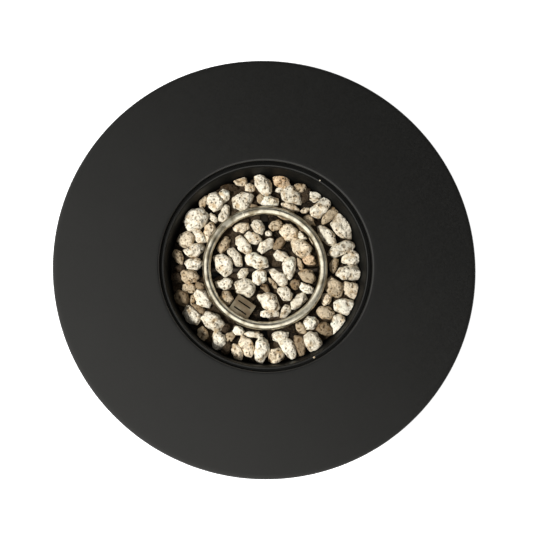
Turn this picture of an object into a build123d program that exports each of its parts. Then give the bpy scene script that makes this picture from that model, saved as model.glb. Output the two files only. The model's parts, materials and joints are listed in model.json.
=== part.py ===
from build123d import *
from math import acos, atan2, cos, degrees, hypot, pi, radians, sin, tan
import os

os.makedirs("parts", exist_ok=True)

# A round gas fire table: a flat steel disc with a sunken burner, on a steel drum that hides the gas cylinder.
# Millimetres. The floor is z = 0, the control console faces -Y and the service door faces +Y.

# Table top
overall_height = 640
top_diameter = 1000
top_sheet = 2.5
skirt_depth = 45
turned_edge = 8
skirt_hem = 18
top_edge_radius = 4
opening_margin = 58
lip_roll_radius = 12
lip_roll_turn = 80
lip_land = 3.5

# Burner pan
pan_sheet = 2
pan_recess = 12
pan_flange_gap = 3
pan_mouth_margin = 12
pan_wall_run = 16
pan_depth = 81
pan_corner_radius = 10
pan_mouth_bend = 4
pan_tab_count = 8
pan_tab_width = 30
pan_tab_sheet = 3
pan_tab_reach = 8
drain_diameter = 8
drain_count = 6
drain_inset = 22

# Burner
ring_diameter = 280
ring_tube = 20
ring_drop = 45
port_diameter = 2.4
port_count = 20
port_depth = 3
feed_tube = 18
feed_height = 14
feed_bend = 24
nipple_diameter = 21
nipple_drop = 25
pan_nut = 30
pan_nut_height = 3.6
stand_width = 20
stand_sheet = 2.5
stand_foot = 18

# Igniter shield, electrode and flame sensor, inside the ring near the front left
shield_x = -54
shield_y = -95
shield_turn = -33.9
shield_length = 51
shield_width = 44
shield_height = 37
shield_sheet = 1.2
shield_fold = 1.8
shield_slot = 3.5
shield_slot_length = 35
shield_slot_pitch = 17.7
shield_slot_shift = 0.5
electrode_offset = 9
ceramic_diameter = 7
ceramic_length = 34
electrode_wire = 2.4
electrode_wire_length = 12
probe_diameter = 5
probe_length = 40
terminal_drop = 12

# Drum, base plate and braces
drum_diameter = 620
drum_sheet = 2.5
drum_bottom = 25
drum_flange = 25
base_sheet = 2.5
base_vent_count = 6
base_vent_length = 60
base_vent_width = 14
base_vent_margin = 90
vent_count = 24
vent_width = 8
vent_height = 34
vent_margin = 30
brace_count = 6
brace_sheet = 2.5
brace_reach = 150
brace_drop = 110
brace_width = 26
brace_hole_inset = 22
brace_hole_pitch = 16
bolt_diameter = 6
bolt_head = 10
bolt_head_height = 4
bolt_tail = 5

# Levelling feet
foot_margin = 40
foot_pad = 40
foot_pad_height = 8
foot_stud = 8
foot_stud_length = 54
foot_nut = 13
foot_nut_height = 6.5

# Service door at the back
door_half_angle = 37
door_sill = 40
door_lintel_drop = 140
door_gap = 2
hinge_offset = 7
hinge_barrel = 10
hinge_pin = 4
hinge_pin_head = 7
hinge_length = 60
hinge_leaf = 20
hinge_sheet = 2
hinge_inset = 70
handle_rod = 9
handle_bend = 11
handle_length = 110
handle_standoff = 26
handle_inset = 8
magnet_length = 44
magnet_width = 12
magnet_depth = 14
strike_sheet = 1.5

# Control console at the front
console_width = 210
console_height = 96
console_sheet = 2.5
console_standoff = 10
console_corner = 6
console_drop = 125
console_window_margin = 22
bezel_diameter = 62
bezel_bore = 50
bezel_height = 2.5

# Gas valve and knob
valve_block = 40
valve_depth = 44
valve_boss = 16
valve_boss_length = 12
bonnet_diameter = 16
bonnet_reach = 4
bonnet_nut = 22
stem_diameter = 6
stem_inside = 14
collar_diameter = 12
collar_height = 2
chamber_depth = 8
knob_diameter = 44
knob_height = 24
knob_bore_depth = 16
knob_travel = 3
knob_flute_count = 12
knob_flute = 6
knob_ease = 1

# Igniter button
igniter_x = 62
igniter_housing = 20
igniter_length = 46
igniter_flange = 26
igniter_flange_height = 2
button_diameter = 13
button_reach = 6
button_depth = 14
button_travel = 4
terminal_diameter = 5
terminal_length = 6

# Air mixer below the pan
mixer_diameter = 34
mixer_wall = 3.5
mixer_length = 66
mixer_window = 16
mixer_window_height = 20
mixer_window_rise = 24
mixer_collar = 2
shutter_wall = 2
shutter_overlap = 4
jet_hex = 17
jet_hex_height = 8
jet_thread = 12
jet_reach = 8
jet_orifice = 1.6
elbow_diameter = 14
elbow_drop = 6
elbow_reach = 26

# Gas cylinder and its fittings
cylinder_diameter = 310
cylinder_wall = 3
cylinder_height = 457
cylinder_back_gap = 4
head_height = 70
head_knuckle = 48
cylinder_lift = 12
foot_ring_diameter = 205
guard_overlap = 10
collar_ring_diameter = 200
collar_ring_height = 112
collar_gap_angle = 100
collar_window_width = 90
collar_window_height = 34
locating_height = 10
locating_sheet = 2
cylinder_thread = 20
cylinder_valve_diameter = 26
cylinder_valve_height = 48
outlet_rise = 28
outlet_diameter = 24
spindle_diameter = 8
spindle_height = 20
handwheel_diameter = 60
handwheel_height = 12
handwheel_lobes = 6
handwheel_scallop = 16
handwheel_gap = 1.5
coupling_diameter = 46
coupling_length = 34
regulator_diameter = 60
regulator_height = 32
regulator_cap = 24
regulator_cap_height = 5
regulator_neck = 20
barb_diameter = 12
barb_length = 22
hose_diameter = 12
supply_diameter = 8
lead_diameter = 3

# Pumice stones
lower_stone_pitch = 42
lower_stone_length = 58
lower_stone_width = 56
lower_stone_rings = 5
ring_stone_count = 18
ring_stone_length = 40
ring_stone_width = 20
stone_gap = 0.7
stone_wall_gap = 3
stone_rise = 0.62
stone_least = 14
stone_most = 30
stone_corners = 6
stone_sliver = 9
stone_chip = 5
top_stone_form = ((0, 0.86), (0.45, 1), (1, 0.62))
lower_stone_form = ((0, 0.92), (0.5, 1), (1, 0.94))

# Clearances
seat = 0.3
running = 0.08
loose = 0.5

# Levels, worked out from the sizes above
top_face = overall_height
top_underside = top_face - top_sheet
top_radius = top_diameter / 2
opening_radius = drum_diameter / 2 - opening_margin
lip_roll_width = lip_roll_radius * sin(radians(lip_roll_turn))
lip_roll_drop = lip_roll_radius * (1 - cos(radians(lip_roll_turn)))
lip_foot = top_face - lip_roll_drop - lip_land
skirt_foot = top_face - skirt_depth
skirt_top = top_face - turned_edge
pan_rim = top_face - pan_recess
pan_floor = pan_rim - pan_depth
pan_under = pan_floor - pan_sheet
pan_mouth_radius = opening_radius - pan_mouth_margin
pan_floor_radius = pan_mouth_radius - pan_wall_run
pan_flange_radius = opening_radius - pan_flange_gap
ring_radius = ring_diameter / 2
ring_centre = top_face - ring_drop
ring_under = ring_centre - ring_tube / 2
feed_centre = pan_floor + feed_height
drum_radius = drum_diameter / 2
drum_inside = drum_radius - drum_sheet
cylinder_y = drum_inside - cylinder_diameter / 2 - cylinder_back_gap
base_top = drum_bottom + drum_sheet + base_sheet
foot_radius = drum_radius - foot_margin
stone_floor = feed_centre + feed_tube / 2 + seat
lower_stone_height = stone_floor - pan_floor - 2 * seat


def export(name, builder):
    """Label one sub-part and write its STEP file."""
    builder.part.label = name
    export_step(builder.part, f"parts/{name}.step")


def pan_inside(height):
    """Inner radius of the pan's sloping wall at a height."""
    return pan_floor_radius + (pan_mouth_radius - pan_floor_radius) * (height - pan_floor) / pan_depth


# Table top: one sheet with a turned edge outside and a rolled lip round the opening
with BuildPart() as table_top:
    with BuildSketch(Plane.XZ):
        with BuildLine():
            roll_centre = (opening_radius + lip_roll_width, top_face - lip_roll_radius)
            edge_centre = (top_radius - top_edge_radius, top_face - top_edge_radius)
            inner_roll_radius = lip_roll_radius - top_sheet
            inner_roll_turn = 90 - degrees(acos((lip_roll_width - top_sheet) / inner_roll_radius))
            outer_roll = CenterArc(roll_centre, lip_roll_radius, 90, lip_roll_turn)
            inner_roll = CenterArc(roll_centre, inner_roll_radius, 90, inner_roll_turn)
            outer_edge = CenterArc(edge_centre, top_edge_radius, 0, 90)
            inner_edge = CenterArc(edge_centre, top_edge_radius - top_sheet, 0, 90)
            Line(outer_roll @ 0, outer_edge @ 1)
            Polyline(
                outer_edge @ 0,
                (top_radius, skirt_top),
                (top_radius - top_sheet, skirt_top),
                inner_edge @ 0,
            )
            Line(inner_edge @ 1, inner_roll @ 0)
            Polyline(
                inner_roll @ 1,
                (opening_radius + top_sheet, lip_foot),
                (opening_radius, lip_foot),
                outer_roll @ 1,
            )
        make_face()
    revolve(axis=Axis.Z)
export("table_top", table_top)

# Skirt: a rolled ring with a hem, butted under the turned edge
with BuildPart() as top_skirt:
    with BuildSketch(Plane.XZ):
        with BuildLine():
            Polyline(
                (top_radius - top_sheet, skirt_top),
                (top_radius, skirt_top),
                (top_radius, skirt_foot),
                (top_radius - skirt_hem, skirt_foot),
                (top_radius - skirt_hem, skirt_foot + top_sheet),
                (top_radius - top_sheet, skirt_foot + top_sheet),
                close=True,
            )
        make_face()
    revolve(axis=Axis.Z)
export("top_skirt", top_skirt)

# Pan tabs: folded brackets under the top that carry the pan's flange
tab_level = pan_rim - pan_sheet
tab_root = opening_radius + lip_roll_width + pan_tab_sheet
with BuildPart() as pan_tab:
    with BuildSketch(Plane.XZ):
        with BuildLine():
            Polyline(
                (pan_flange_radius - pan_tab_reach + pan_tab_sheet, tab_level - pan_tab_sheet),
                (tab_root + pan_tab_sheet, tab_level - pan_tab_sheet),
                (tab_root + pan_tab_sheet, top_underside),
                (tab_root, top_underside),
                (tab_root, tab_level),
                (pan_flange_radius - pan_tab_reach + pan_tab_sheet, tab_level),
                close=True,
            )
        make_face()
    extrude(amount=pan_tab_width / 2, both=True)
with BuildPart() as pan_tabs:
    with PolarLocations(0, pan_tab_count, start_angle=180 / pan_tab_count):
        add(pan_tab.part)
export("pan_tabs", pan_tabs)

# Burner pan: a pressed dish with a flange, a feed hole, two lead holes and drain holes
wall_run = (pan_mouth_radius - pan_floor_radius) / pan_depth
wall_thickness = pan_sheet * (1 + wall_run**2) ** 0.5
shield_place = Location((shield_x, shield_y, 0), (0, 0, shield_turn))
lead_holes = [shield_place * Location((side * electrode_offset, 0, 0)) for side in (1, -1)]
with BuildPart() as burner_pan:
    with BuildSketch(Plane.XZ):
        with BuildLine():
            inside = FilletPolyline(
                (0, pan_floor),
                (pan_floor_radius, pan_floor),
                (pan_mouth_radius, pan_rim),
                (pan_flange_radius, pan_rim),
                radius=[pan_corner_radius, pan_mouth_bend],
            )
            outside = FilletPolyline(
                (0, pan_under),
                (pan_inside(pan_under) + wall_thickness, pan_under),
                (pan_inside(tab_level) + wall_thickness, tab_level),
                (pan_flange_radius, tab_level),
                radius=[pan_corner_radius + pan_sheet, pan_mouth_bend - pan_sheet],
            )
            Line(inside @ 0, outside @ 0)
            Line(inside @ 1, outside @ 1)
        make_face()
    revolve(axis=Axis.Z)
    with Locations((0, 0, pan_floor)):
        Hole(nipple_diameter / 2 + loose)
    with PolarLocations(pan_floor_radius - drain_inset, drain_count, start_angle=20):
        with Locations((0, 0, pan_floor)):
            Hole(drain_diameter / 2)
    with Locations(lead_holes):
        with Locations((0, 0, pan_floor)):
            Hole(ceramic_diameter / 2 + loose)
export("burner_pan", burner_pan)

# Burner ring: a bent tube with its gas ports on the underside, facing inwards
port_lean = 40
port_radius = ring_radius - (ring_tube / 2 - port_depth) * sin(radians(port_lean))
port_level = ring_centre - (ring_tube / 2 - port_depth) * cos(radians(port_lean))
with BuildPart() as burner_ring:
    with Locations((0, 0, ring_centre)):
        Torus(ring_radius, ring_tube / 2)
    with PolarLocations(port_radius, port_count, start_angle=180 / port_count):
        with Locations(Location((0, 0, port_level), (0, port_lean, 0))):
            Cylinder(
                port_diameter / 2,
                port_depth * 2,
                align=(Align.CENTER, Align.CENTER, Align.MAX),
                mode=Mode.SUBTRACT,
            )
export("burner_ring", burner_ring)

# Feed tube: runs low across the pan and rises at both ends into the ring
with BuildPart() as feed_pipe:
    with BuildLine() as feed_path:
        FilletPolyline(
            (-ring_radius, 0, ring_centre),
            (-ring_radius, 0, feed_centre),
            (ring_radius, 0, feed_centre),
            (ring_radius, 0, ring_centre),
            radius=feed_bend,
        )
    with BuildSketch(Plane((-ring_radius, 0, ring_centre), z_dir=(0, 0, -1))):
        Circle(feed_tube / 2)
    sweep()
    with Locations((0, 0, ring_centre)):
        Torus(ring_radius, ring_tube / 2 + seat / 2, mode=Mode.SUBTRACT)
    split(bisect_by=Plane.XY.offset(ring_centre), keep=Keep.BOTTOM)
export("feed_pipe", feed_pipe)

# Inlet nipple: the threaded neck that carries gas through the pan floor into the feed pipe
nipple_foot = pan_under - nipple_drop
with BuildPart() as inlet_nipple:
    with Locations((0, 0, nipple_foot)):
        Cylinder(
            nipple_diameter / 2,
            feed_centre - nipple_foot,
            align=(Align.CENTER, Align.CENTER, Align.MIN),
        )
        Cylinder(
            nipple_diameter / 2 - pan_sheet,
            nipple_drop,
            align=(Align.CENTER, Align.CENTER, Align.MIN),
            mode=Mode.SUBTRACT,
        )
    with Locations(Location((0, 0, feed_centre), (0, 90, 0))):
        Cylinder(feed_tube / 2 + seat / 2, ring_radius, mode=Mode.SUBTRACT)
export("inlet_nipple", inlet_nipple)

# Inlet nuts: one above and one below the pan floor, clamping it
with BuildPart() as inlet_nuts:
    for level in (pan_floor, pan_under - pan_nut_height):
        with BuildSketch(Plane.XY.offset(level)):
            RegularPolygon(pan_nut / 2, 6, major_radius=False)
            Circle(nipple_diameter / 2 + running, mode=Mode.SUBTRACT)
        extrude(amount=pan_nut_height)
export("inlet_nuts", inlet_nuts)

# Burner stands: two strap brackets that hold the ring off the pan floor
with BuildPart() as burner_stand:
    with BuildSketch(Plane.XZ):
        with BuildLine():
            Polyline(
                (ring_radius - stand_foot, pan_floor),
                (ring_radius + stand_sheet, pan_floor),
                (ring_radius + stand_sheet, ring_under - seat - stand_sheet),
                (ring_radius + stand_foot / 2, ring_under - seat - stand_sheet),
                (ring_radius + stand_foot / 2, ring_under - seat),
                (ring_radius - stand_foot / 2, ring_under - seat),
                (ring_radius - stand_foot / 2, ring_under - seat - stand_sheet),
                (ring_radius, ring_under - seat - stand_sheet),
                (ring_radius, pan_floor + stand_sheet),
                (ring_radius - stand_foot, pan_floor + stand_sheet),
                close=True,
            )
        make_face()
    extrude(amount=stand_width / 2, both=True)
with BuildPart() as burner_stands:
    with PolarLocations(0, 2, start_angle=90):
        add(burner_stand.part)
export("burner_stands", burner_stands)

# Igniter shield: a folded box with two slots on top, open below and towards the ring
shield_base = pan_floor + seat
shield_at = Location((shield_x, shield_y, shield_base), (0, 0, shield_turn))
with BuildPart() as igniter_shield:
    with Locations(shield_at):
        Box(
            shield_length,
            shield_width,
            shield_height,
            align=(Align.CENTER, Align.CENTER, Align.MIN),
        )
        Box(
            shield_length - 2 * shield_sheet,
            shield_width - 2 * shield_sheet,
            shield_height - shield_sheet,
            align=(Align.CENTER, Align.CENTER, Align.MIN),
            mode=Mode.SUBTRACT,
        )
    fold_edges = igniter_shield.edges().filter_by(Axis.Z).group_by(SortBy.LENGTH)[-1]
    fillet(fold_edges, shield_fold)
    with Locations(shield_at * Location((0, shield_slot_shift, shield_height))):
        with GridLocations(0, shield_slot_pitch, 1, 2):
            Box(shield_slot_length, shield_slot, shield_sheet * 3, mode=Mode.SUBTRACT)
    with Locations(shield_at * Location((0, -shield_width / 2, shield_height / 2))):
        Box(shield_slot_length, shield_sheet * 4, shield_height / 2, mode=Mode.SUBTRACT)
export("igniter_shield", igniter_shield)

# Electrode: a ceramic insulator with a spark wire, down through the pan floor to its lead
electrode_foot = pan_under - terminal_drop
electrode_at = lead_holes[0] * Location((0, 0, electrode_foot))
with BuildPart() as igniter_electrode:
    with Locations(electrode_at):
        Cylinder(ceramic_diameter / 2, ceramic_length, align=(Align.CENTER, Align.CENTER, Align.MIN))
    with Locations(electrode_at * Location((0, 0, ceramic_length))):
        Cylinder(
            electrode_wire / 2,
            electrode_wire_length,
            align=(Align.CENTER, Align.CENTER, Align.MIN),
        )
export("igniter_electrode", igniter_electrode)

# Flame sensor: the thermocouple probe beside the electrode
probe_at = lead_holes[1] * Location((0, 0, electrode_foot))
with BuildPart() as flame_sensor:
    with Locations(probe_at):
        Cylinder(probe_diameter / 2, probe_length, align=(Align.CENTER, Align.CENTER, Align.MIN))
export("flame_sensor", flame_sensor)

# Electrode plate: a small plate on the pan floor that holds the electrode and the sensor
with BuildPart() as electrode_plate:
    with Locations(shield_place * Location((0, 0, pan_floor))):
        Box(
            shield_slot_length,
            ceramic_diameter * 2,
            shield_sheet,
            align=(Align.CENTER, Align.CENTER, Align.MIN),
        )
    with Locations(electrode_at * Location((0, 0, ceramic_length / 2))):
        Hole(ceramic_diameter / 2 + running)
    with Locations(probe_at * Location((0, 0, ceramic_length / 2))):
        Hole(probe_diameter / 2 + running)
export("electrode_plate", electrode_plate)

# Drum: the rolled shell with a flange at each end, a doorway, a console window and vent slots
console_centre = top_face - console_drop
window_width = console_width - 2 * console_window_margin
window_height = console_height - console_window_margin
doorway_height = top_face - door_lintel_drop - door_sill
upper_vent_level = skirt_foot - vent_margin - vent_height / 2 + skirt_depth / 2
lower_vent_level = base_top + vent_margin
brace_angles = [turn * 360 / brace_count for turn in range(brace_count)]
brace_hole_level = top_underside - brace_drop + brace_hole_inset
brace_places = [Location((0, 0, 0), (0, 0, angle)) for angle in brace_angles]
bolt_places = [Location((drum_radius, side * brace_hole_pitch / 2, brace_hole_level)) for side in (-1, 1)]
across_wall = Location((0, 0, 0), (0, 90, 0))
brace_holes = [place * bolt * across_wall for place in brace_places for bolt in bolt_places]
with BuildPart() as drum_shell:
    with BuildSketch(Plane.XZ):
        with BuildLine():
            Polyline(
                (drum_radius, drum_bottom),
                (drum_radius, top_underside),
                (drum_radius - drum_flange, top_underside),
                (drum_radius - drum_flange, top_underside - drum_sheet),
                (drum_inside, top_underside - drum_sheet),
                (drum_inside, drum_bottom + drum_sheet),
                (drum_radius - drum_flange, drum_bottom + drum_sheet),
                (drum_radius - drum_flange, drum_bottom),
                close=True,
            )
        make_face()
    revolve(axis=Axis.Z)
    with BuildSketch(Plane.XY.offset(door_sill)):
        with BuildLine():
            side_x = drum_diameter * sin(radians(door_half_angle))
            side_y = drum_diameter * cos(radians(door_half_angle))
            Polyline((0, 0), (side_x, side_y), (0, drum_diameter * 2), (-side_x, side_y), close=True)
        make_face()
    extrude(amount=doorway_height, mode=Mode.SUBTRACT)
    with Locations((0, -drum_radius, console_centre)):
        Box(window_width, drum_radius, window_height, mode=Mode.SUBTRACT)
    with PolarLocations(drum_radius, vent_count, start_angle=180 / vent_count):
        with Locations((0, 0, upper_vent_level), (0, 0, lower_vent_level)):
            Box(drum_sheet * 4, vent_width, vent_height, mode=Mode.SUBTRACT)
    with Locations(brace_holes):
        Cylinder(bolt_diameter / 2 + running, drum_sheet * 4, mode=Mode.SUBTRACT)
export("drum_shell", drum_shell)

# Base plate: the drum's floor, with air openings and holes for the feet
with BuildPart() as base_plate:
    with BuildSketch(Plane.XY.offset(drum_bottom + drum_sheet)):
        Circle(drum_inside - seat)
        with PolarLocations(foot_radius, 4, start_angle=45):
            Circle(foot_stud / 2 + loose, mode=Mode.SUBTRACT)
        with PolarLocations(drum_radius - base_vent_margin, base_vent_count, start_angle=90):
            SlotOverall(base_vent_length, base_vent_width, rotation=90, mode=Mode.SUBTRACT)
    extrude(amount=base_sheet)
export("base_plate", base_plate)

# Braces: folded gussets that carry the overhanging top from the drum
with BuildPart() as brace:
    with BuildSketch(Plane.XZ):
        with BuildLine():
            Polyline(
                (drum_radius + seat, top_underside),
                (drum_radius + brace_reach, top_underside),
                (drum_radius + brace_reach, top_underside - brace_sheet * 3),
                (drum_radius + brace_sheet * 4, top_underside - brace_drop),
                (drum_radius + seat, top_underside - brace_drop),
                close=True,
            )
        make_face()
    extrude(amount=brace_sheet / 2, both=True)
    with BuildSketch(Plane.XY.offset(top_underside)):
        with Locations((drum_radius + brace_reach / 2 + seat, 0)):
            Rectangle(brace_reach - seat * 2, brace_width)
    extrude(amount=-brace_sheet)
    with Locations((drum_radius + seat, 0, top_underside)):
        Box(
            brace_sheet,
            brace_width,
            brace_drop,
            align=(Align.MIN, Align.CENTER, Align.MAX),
        )
    with Locations([bolt * across_wall for bolt in bolt_places]):
        Cylinder(bolt_diameter / 2 + running, brace_width, mode=Mode.SUBTRACT)
with BuildPart() as top_braces:
    with Locations(brace_places):
        add(brace.part)
export("top_braces", top_braces)

# Brace bolts: two through each brace and the drum wall
with BuildPart() as brace_bolt:
    with BuildSketch(Plane.YZ.offset(seat + brace_sheet)):
        RegularPolygon(bolt_head / 2, 6, major_radius=False)
    extrude(amount=bolt_head_height)
    with BuildSketch(Plane.YZ.offset(-drum_sheet - bolt_tail)):
        Circle(bolt_diameter / 2)
    extrude(amount=bolt_tail + drum_sheet + seat + brace_sheet)
with BuildPart() as brace_bolts:
    with Locations([place * bolt for place in brace_places for bolt in bolt_places]):
        add(brace_bolt.part)
export("brace_bolts", brace_bolts)

# Levelling feet: four pads on threaded studs, with their nuts welded to the base plate
foot_turns = [Location((0, 0, 0), (0, 0, 45 + 90 * quarter)) for quarter in range(4)]
foot_places = [turn * Location((foot_radius, 0, 0)) for turn in foot_turns]
for number, place in enumerate(foot_places, 1):
    with BuildPart() as levelling_foot:
        with Locations(place):
            Cylinder(foot_pad / 2, foot_pad_height, align=(Align.CENTER, Align.CENTER, Align.MIN))
        chamfer(levelling_foot.edges().group_by(Axis.Z)[-1], foot_pad_height / 4)
        with Locations(place * Location((0, 0, foot_pad_height))):
            Cylinder(foot_stud / 2, foot_stud_length, align=(Align.CENTER, Align.CENTER, Align.MIN))
    export(f"levelling_foot_{number}", levelling_foot)
with BuildPart() as foot_nuts:
    with BuildSketch(Plane.XY.offset(base_top)):
        with Locations(foot_places):
            RegularPolygon(foot_nut / 2, 6, major_radius=False)
            Circle(foot_stud / 2 + running, mode=Mode.SUBTRACT)
    extrude(amount=foot_nut_height)
export("foot_nuts", foot_nuts)


def wall_piece(inner, outer, start, end, bottom, height):
    """A sketch-built piece of the drum's curve, between two angles in degrees."""
    with BuildPart() as piece:
        with BuildSketch(Plane.XY.offset(bottom)):
            with BuildLine():
                outer_arc = CenterArc((0, 0), outer, start, end - start)
                inner_arc = CenterArc((0, 0), inner, start, end - start)
                Line(outer_arc @ 0, inner_arc @ 0)
                Line(outer_arc @ 1, inner_arc @ 1)
            make_face()
        extrude(amount=height)
    return piece.part


# Service door: a curved panel that closes the doorway, with a strike for the magnet
gap_angle = degrees(door_gap / drum_radius)
door_left = 90 + door_half_angle - gap_angle
door_right = 90 - door_half_angle + gap_angle
door_height = doorway_height - 2 * door_gap
door_foot = door_sill + door_gap
with BuildPart() as service_door:
    add(wall_piece(drum_inside, drum_radius, door_right, door_left, door_foot, door_height))
export("service_door", service_door)

# Hinges: two barrels on a vertical pin line just outside the drum, in the gap beside the door
hinge_angle = 90 + door_half_angle - gap_angle / 2
hinge_line = Location((0, 0, 0), (0, 0, hinge_angle)) * Location((drum_radius + hinge_offset, 0, 0))
hinge_levels = (door_foot + hinge_inset, door_foot + door_height - hinge_inset - hinge_length)
barrel_angle = degrees(hinge_barrel / 2 / drum_radius)
leaf_angle = degrees(hinge_leaf / drum_radius)
seat_angle = degrees(seat / drum_radius)
leaf_inner = drum_radius + seat
leaf_outer = leaf_inner + hinge_sheet
knuckle = hinge_length / 3


def hinge_half(side, spans):
    """One half of both hinges: its leaves on one side of the pin line and its knuckles round the pin."""
    with BuildPart() as half:
        for level in hinge_levels:
            far = hinge_angle + side * (barrel_angle + leaf_angle)
            near = hinge_angle + side * (barrel_angle + seat_angle * 2)
            add(wall_piece(leaf_inner, leaf_outer, min(far, near), max(far, near), level, hinge_length))
            for start, end in spans:
                low, tall = level + start, end - start
                first, last = min(near, hinge_angle), max(near, hinge_angle)
                add(wall_piece(leaf_inner, leaf_outer, first, last, low, tall))
                with Locations(hinge_line * Location((0, 0, low))):
                    Cylinder(hinge_barrel / 2, tall, align=(Align.CENTER, Align.CENTER, Align.MIN))
        with Locations(hinge_line * Location((0, 0, door_foot))):
            Cylinder(
                hinge_pin / 2 + running,
                door_height,
                align=(Align.CENTER, Align.CENTER, Align.MIN),
                mode=Mode.SUBTRACT,
            )
    return half


hinge_frames = hinge_half(1, ((0, knuckle - seat), (2 * knuckle + seat, hinge_length)))
export("hinge_frames", hinge_frames)
hinge_doors = hinge_half(-1, ((knuckle, 2 * knuckle),))
export("hinge_doors", hinge_doors)
with BuildPart() as hinge_pins:
    for level in hinge_levels:
        with Locations(hinge_line * Location((0, 0, level))):
            Cylinder(hinge_pin / 2, hinge_length, align=(Align.CENTER, Align.CENTER, Align.MIN))
        with Locations(hinge_line * Location((0, 0, level + hinge_length))):
            Cylinder(hinge_pin_head / 2, hinge_sheet, align=(Align.CENTER, Align.CENTER, Align.MIN))
export("hinge_pins", hinge_pins)

# Door handle: a bent rod near the free edge
handle_angle = door_right + handle_inset
handle_level = (door_foot + door_foot + door_height) / 2
handle_at = Location((0, 0, handle_level), (0, 0, handle_angle)) * Location((drum_radius, 0, 0))
with BuildPart() as door_handle:
    with BuildLine(Plane.XZ) as handle_path:
        FilletPolyline(
            (seat, -handle_length / 2),
            (handle_standoff, -handle_length / 2),
            (handle_standoff, handle_length / 2),
            (seat, handle_length / 2),
            radius=handle_bend,
        )
    with BuildSketch(Plane((seat, 0, -handle_length / 2), z_dir=(1, 0, 0))):
        Circle(handle_rod / 2)
    sweep()
with BuildPart() as placed_handle:
    with Locations(handle_at):
        add(door_handle.part)
export("door_handle", placed_handle)

# Magnetic catch inside the doorway and its strike on the door
catch_angle = 90 - door_half_angle
catch_at = Location((0, 0, handle_level), (0, 0, catch_angle))
magnet_front = (drum_inside**2 - (magnet_width * 2) ** 2) ** 0.5 - seat
with BuildPart() as door_catch:
    with Locations(catch_at * Location((magnet_front, 0, 0))):
        Box(
            magnet_depth,
            magnet_width * 2,
            magnet_length,
            align=(Align.MAX, Align.MAX, Align.CENTER),
        )
    with Locations(catch_at * Location((drum_inside - strike_sheet * 4, 0, 0))):
        Box(
            magnet_depth - strike_sheet * 4,
            magnet_width,
            magnet_length,
            align=(Align.MAX, Align.MIN, Align.CENTER),
        )
export("door_catch", door_catch)
with BuildPart() as catch_strike:
    strike_turn = Location((0, 0, handle_level), (0, 0, catch_angle + degrees(magnet_width / drum_radius)))
    with Locations(strike_turn * Location((drum_inside - seat, 0, 0))):
        Box(
            strike_sheet,
            magnet_width,
            magnet_length / 2,
            align=(Align.MAX, Align.CENTER, Align.CENTER),
        )
export("catch_strike", catch_strike)

# Control console: a folded cover on the front of the drum
console_front = -(drum_radius + console_standoff)
console_inner = console_front + console_sheet
igniter_place = Location((igniter_x, console_front, console_centre), (90, 0, 0))
valve_place = Location((0, console_front, console_centre), (90, 0, 0))
with BuildPart() as control_console:
    with BuildSketch(Plane.XZ.offset(-console_front)):
        with Locations((0, console_centre)):
            RectangleRounded(console_width, console_height, console_corner)
    extrude(amount=-drum_radius / 4)
    with BuildSketch(Plane.XZ.offset(-console_inner)):
        with Locations((0, console_centre)):
            RectangleRounded(
                console_width - 2 * console_sheet,
                console_height - 2 * console_sheet,
                console_corner - console_sheet,
            )
    extrude(amount=-drum_radius, mode=Mode.SUBTRACT)
    Cylinder(drum_radius + seat, overall_height * 2, mode=Mode.SUBTRACT)
    with Locations(valve_place):
        Hole(bonnet_diameter / 2 + running, depth=drum_flange)
    with Locations(igniter_place):
        Hole(igniter_housing / 2 + running, depth=drum_flange)
export("control_console", control_console)

# Gas valve: the body, its bonnet through the console and the bore that the stem slides in
valve_front = console_inner + seat
valve_back = valve_front + valve_depth
with BuildPart() as gas_valve:
    with Locations((0, valve_front, console_centre)):
        Box(valve_block, valve_depth, valve_block, align=(Align.CENTER, Align.MIN, Align.CENTER))
    fillet(gas_valve.edges().filter_by(Axis.Y), console_corner)
    with Locations(Location((0, valve_front, console_centre), (90, 0, 0))):
        Cylinder(
            bonnet_diameter / 2,
            console_sheet + seat + bonnet_reach,
            align=(Align.CENTER, Align.CENTER, Align.MIN),
        )
    with Locations(Location((0, valve_back, console_centre + bonnet_reach), (-90, 0, 0))):
        Cylinder(valve_boss / 2, valve_boss_length, align=(Align.CENTER, Align.CENTER, Align.MIN))
    with Locations((0, valve_front + valve_depth / 2, console_centre - valve_block / 2)):
        Cylinder(valve_boss / 2, valve_boss_length, align=(Align.CENTER, Align.CENTER, Align.MAX))
    with Locations(Location((0, console_front - bonnet_reach, console_centre), (-90, 0, 0))):
        Cylinder(
            stem_diameter / 2 + running,
            bonnet_reach + console_sheet + chamber_depth + stem_inside + knob_travel + loose + seat,
            align=(Align.CENTER, Align.CENTER, Align.MIN),
            mode=Mode.SUBTRACT,
        )
    with Locations(Location((0, valve_front + seat, console_centre), (-90, 0, 0))):
        Cylinder(
            collar_diameter / 2 + running,
            chamber_depth,
            align=(Align.CENTER, Align.CENTER, Align.MIN),
            mode=Mode.SUBTRACT,
        )
export("gas_valve", gas_valve)

# Bonnet nut and knob bezel on the face of the console
with BuildPart() as valve_nut:
    with BuildSketch(Plane.XZ.offset(-console_front)):
        with Locations((0, console_centre)):
            RegularPolygon(bonnet_nut / 2, 6, major_radius=False)
            Circle(bonnet_diameter / 2 + running, mode=Mode.SUBTRACT)
    extrude(amount=bonnet_reach - seat)
export("valve_nut", valve_nut)
with BuildPart() as knob_bezel:
    with BuildSketch(Plane.XZ.offset(-console_front)):
        with Locations((0, console_centre)):
            Circle(bezel_diameter / 2)
            Circle(bezel_bore / 2, mode=Mode.SUBTRACT)
    extrude(amount=bezel_height)
    chamfer(knob_bezel.edges().group_by(Axis.Y)[0].sort_by(SortBy.LENGTH)[-1], bezel_height / 2)
export("knob_bezel", knob_bezel)

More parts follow.
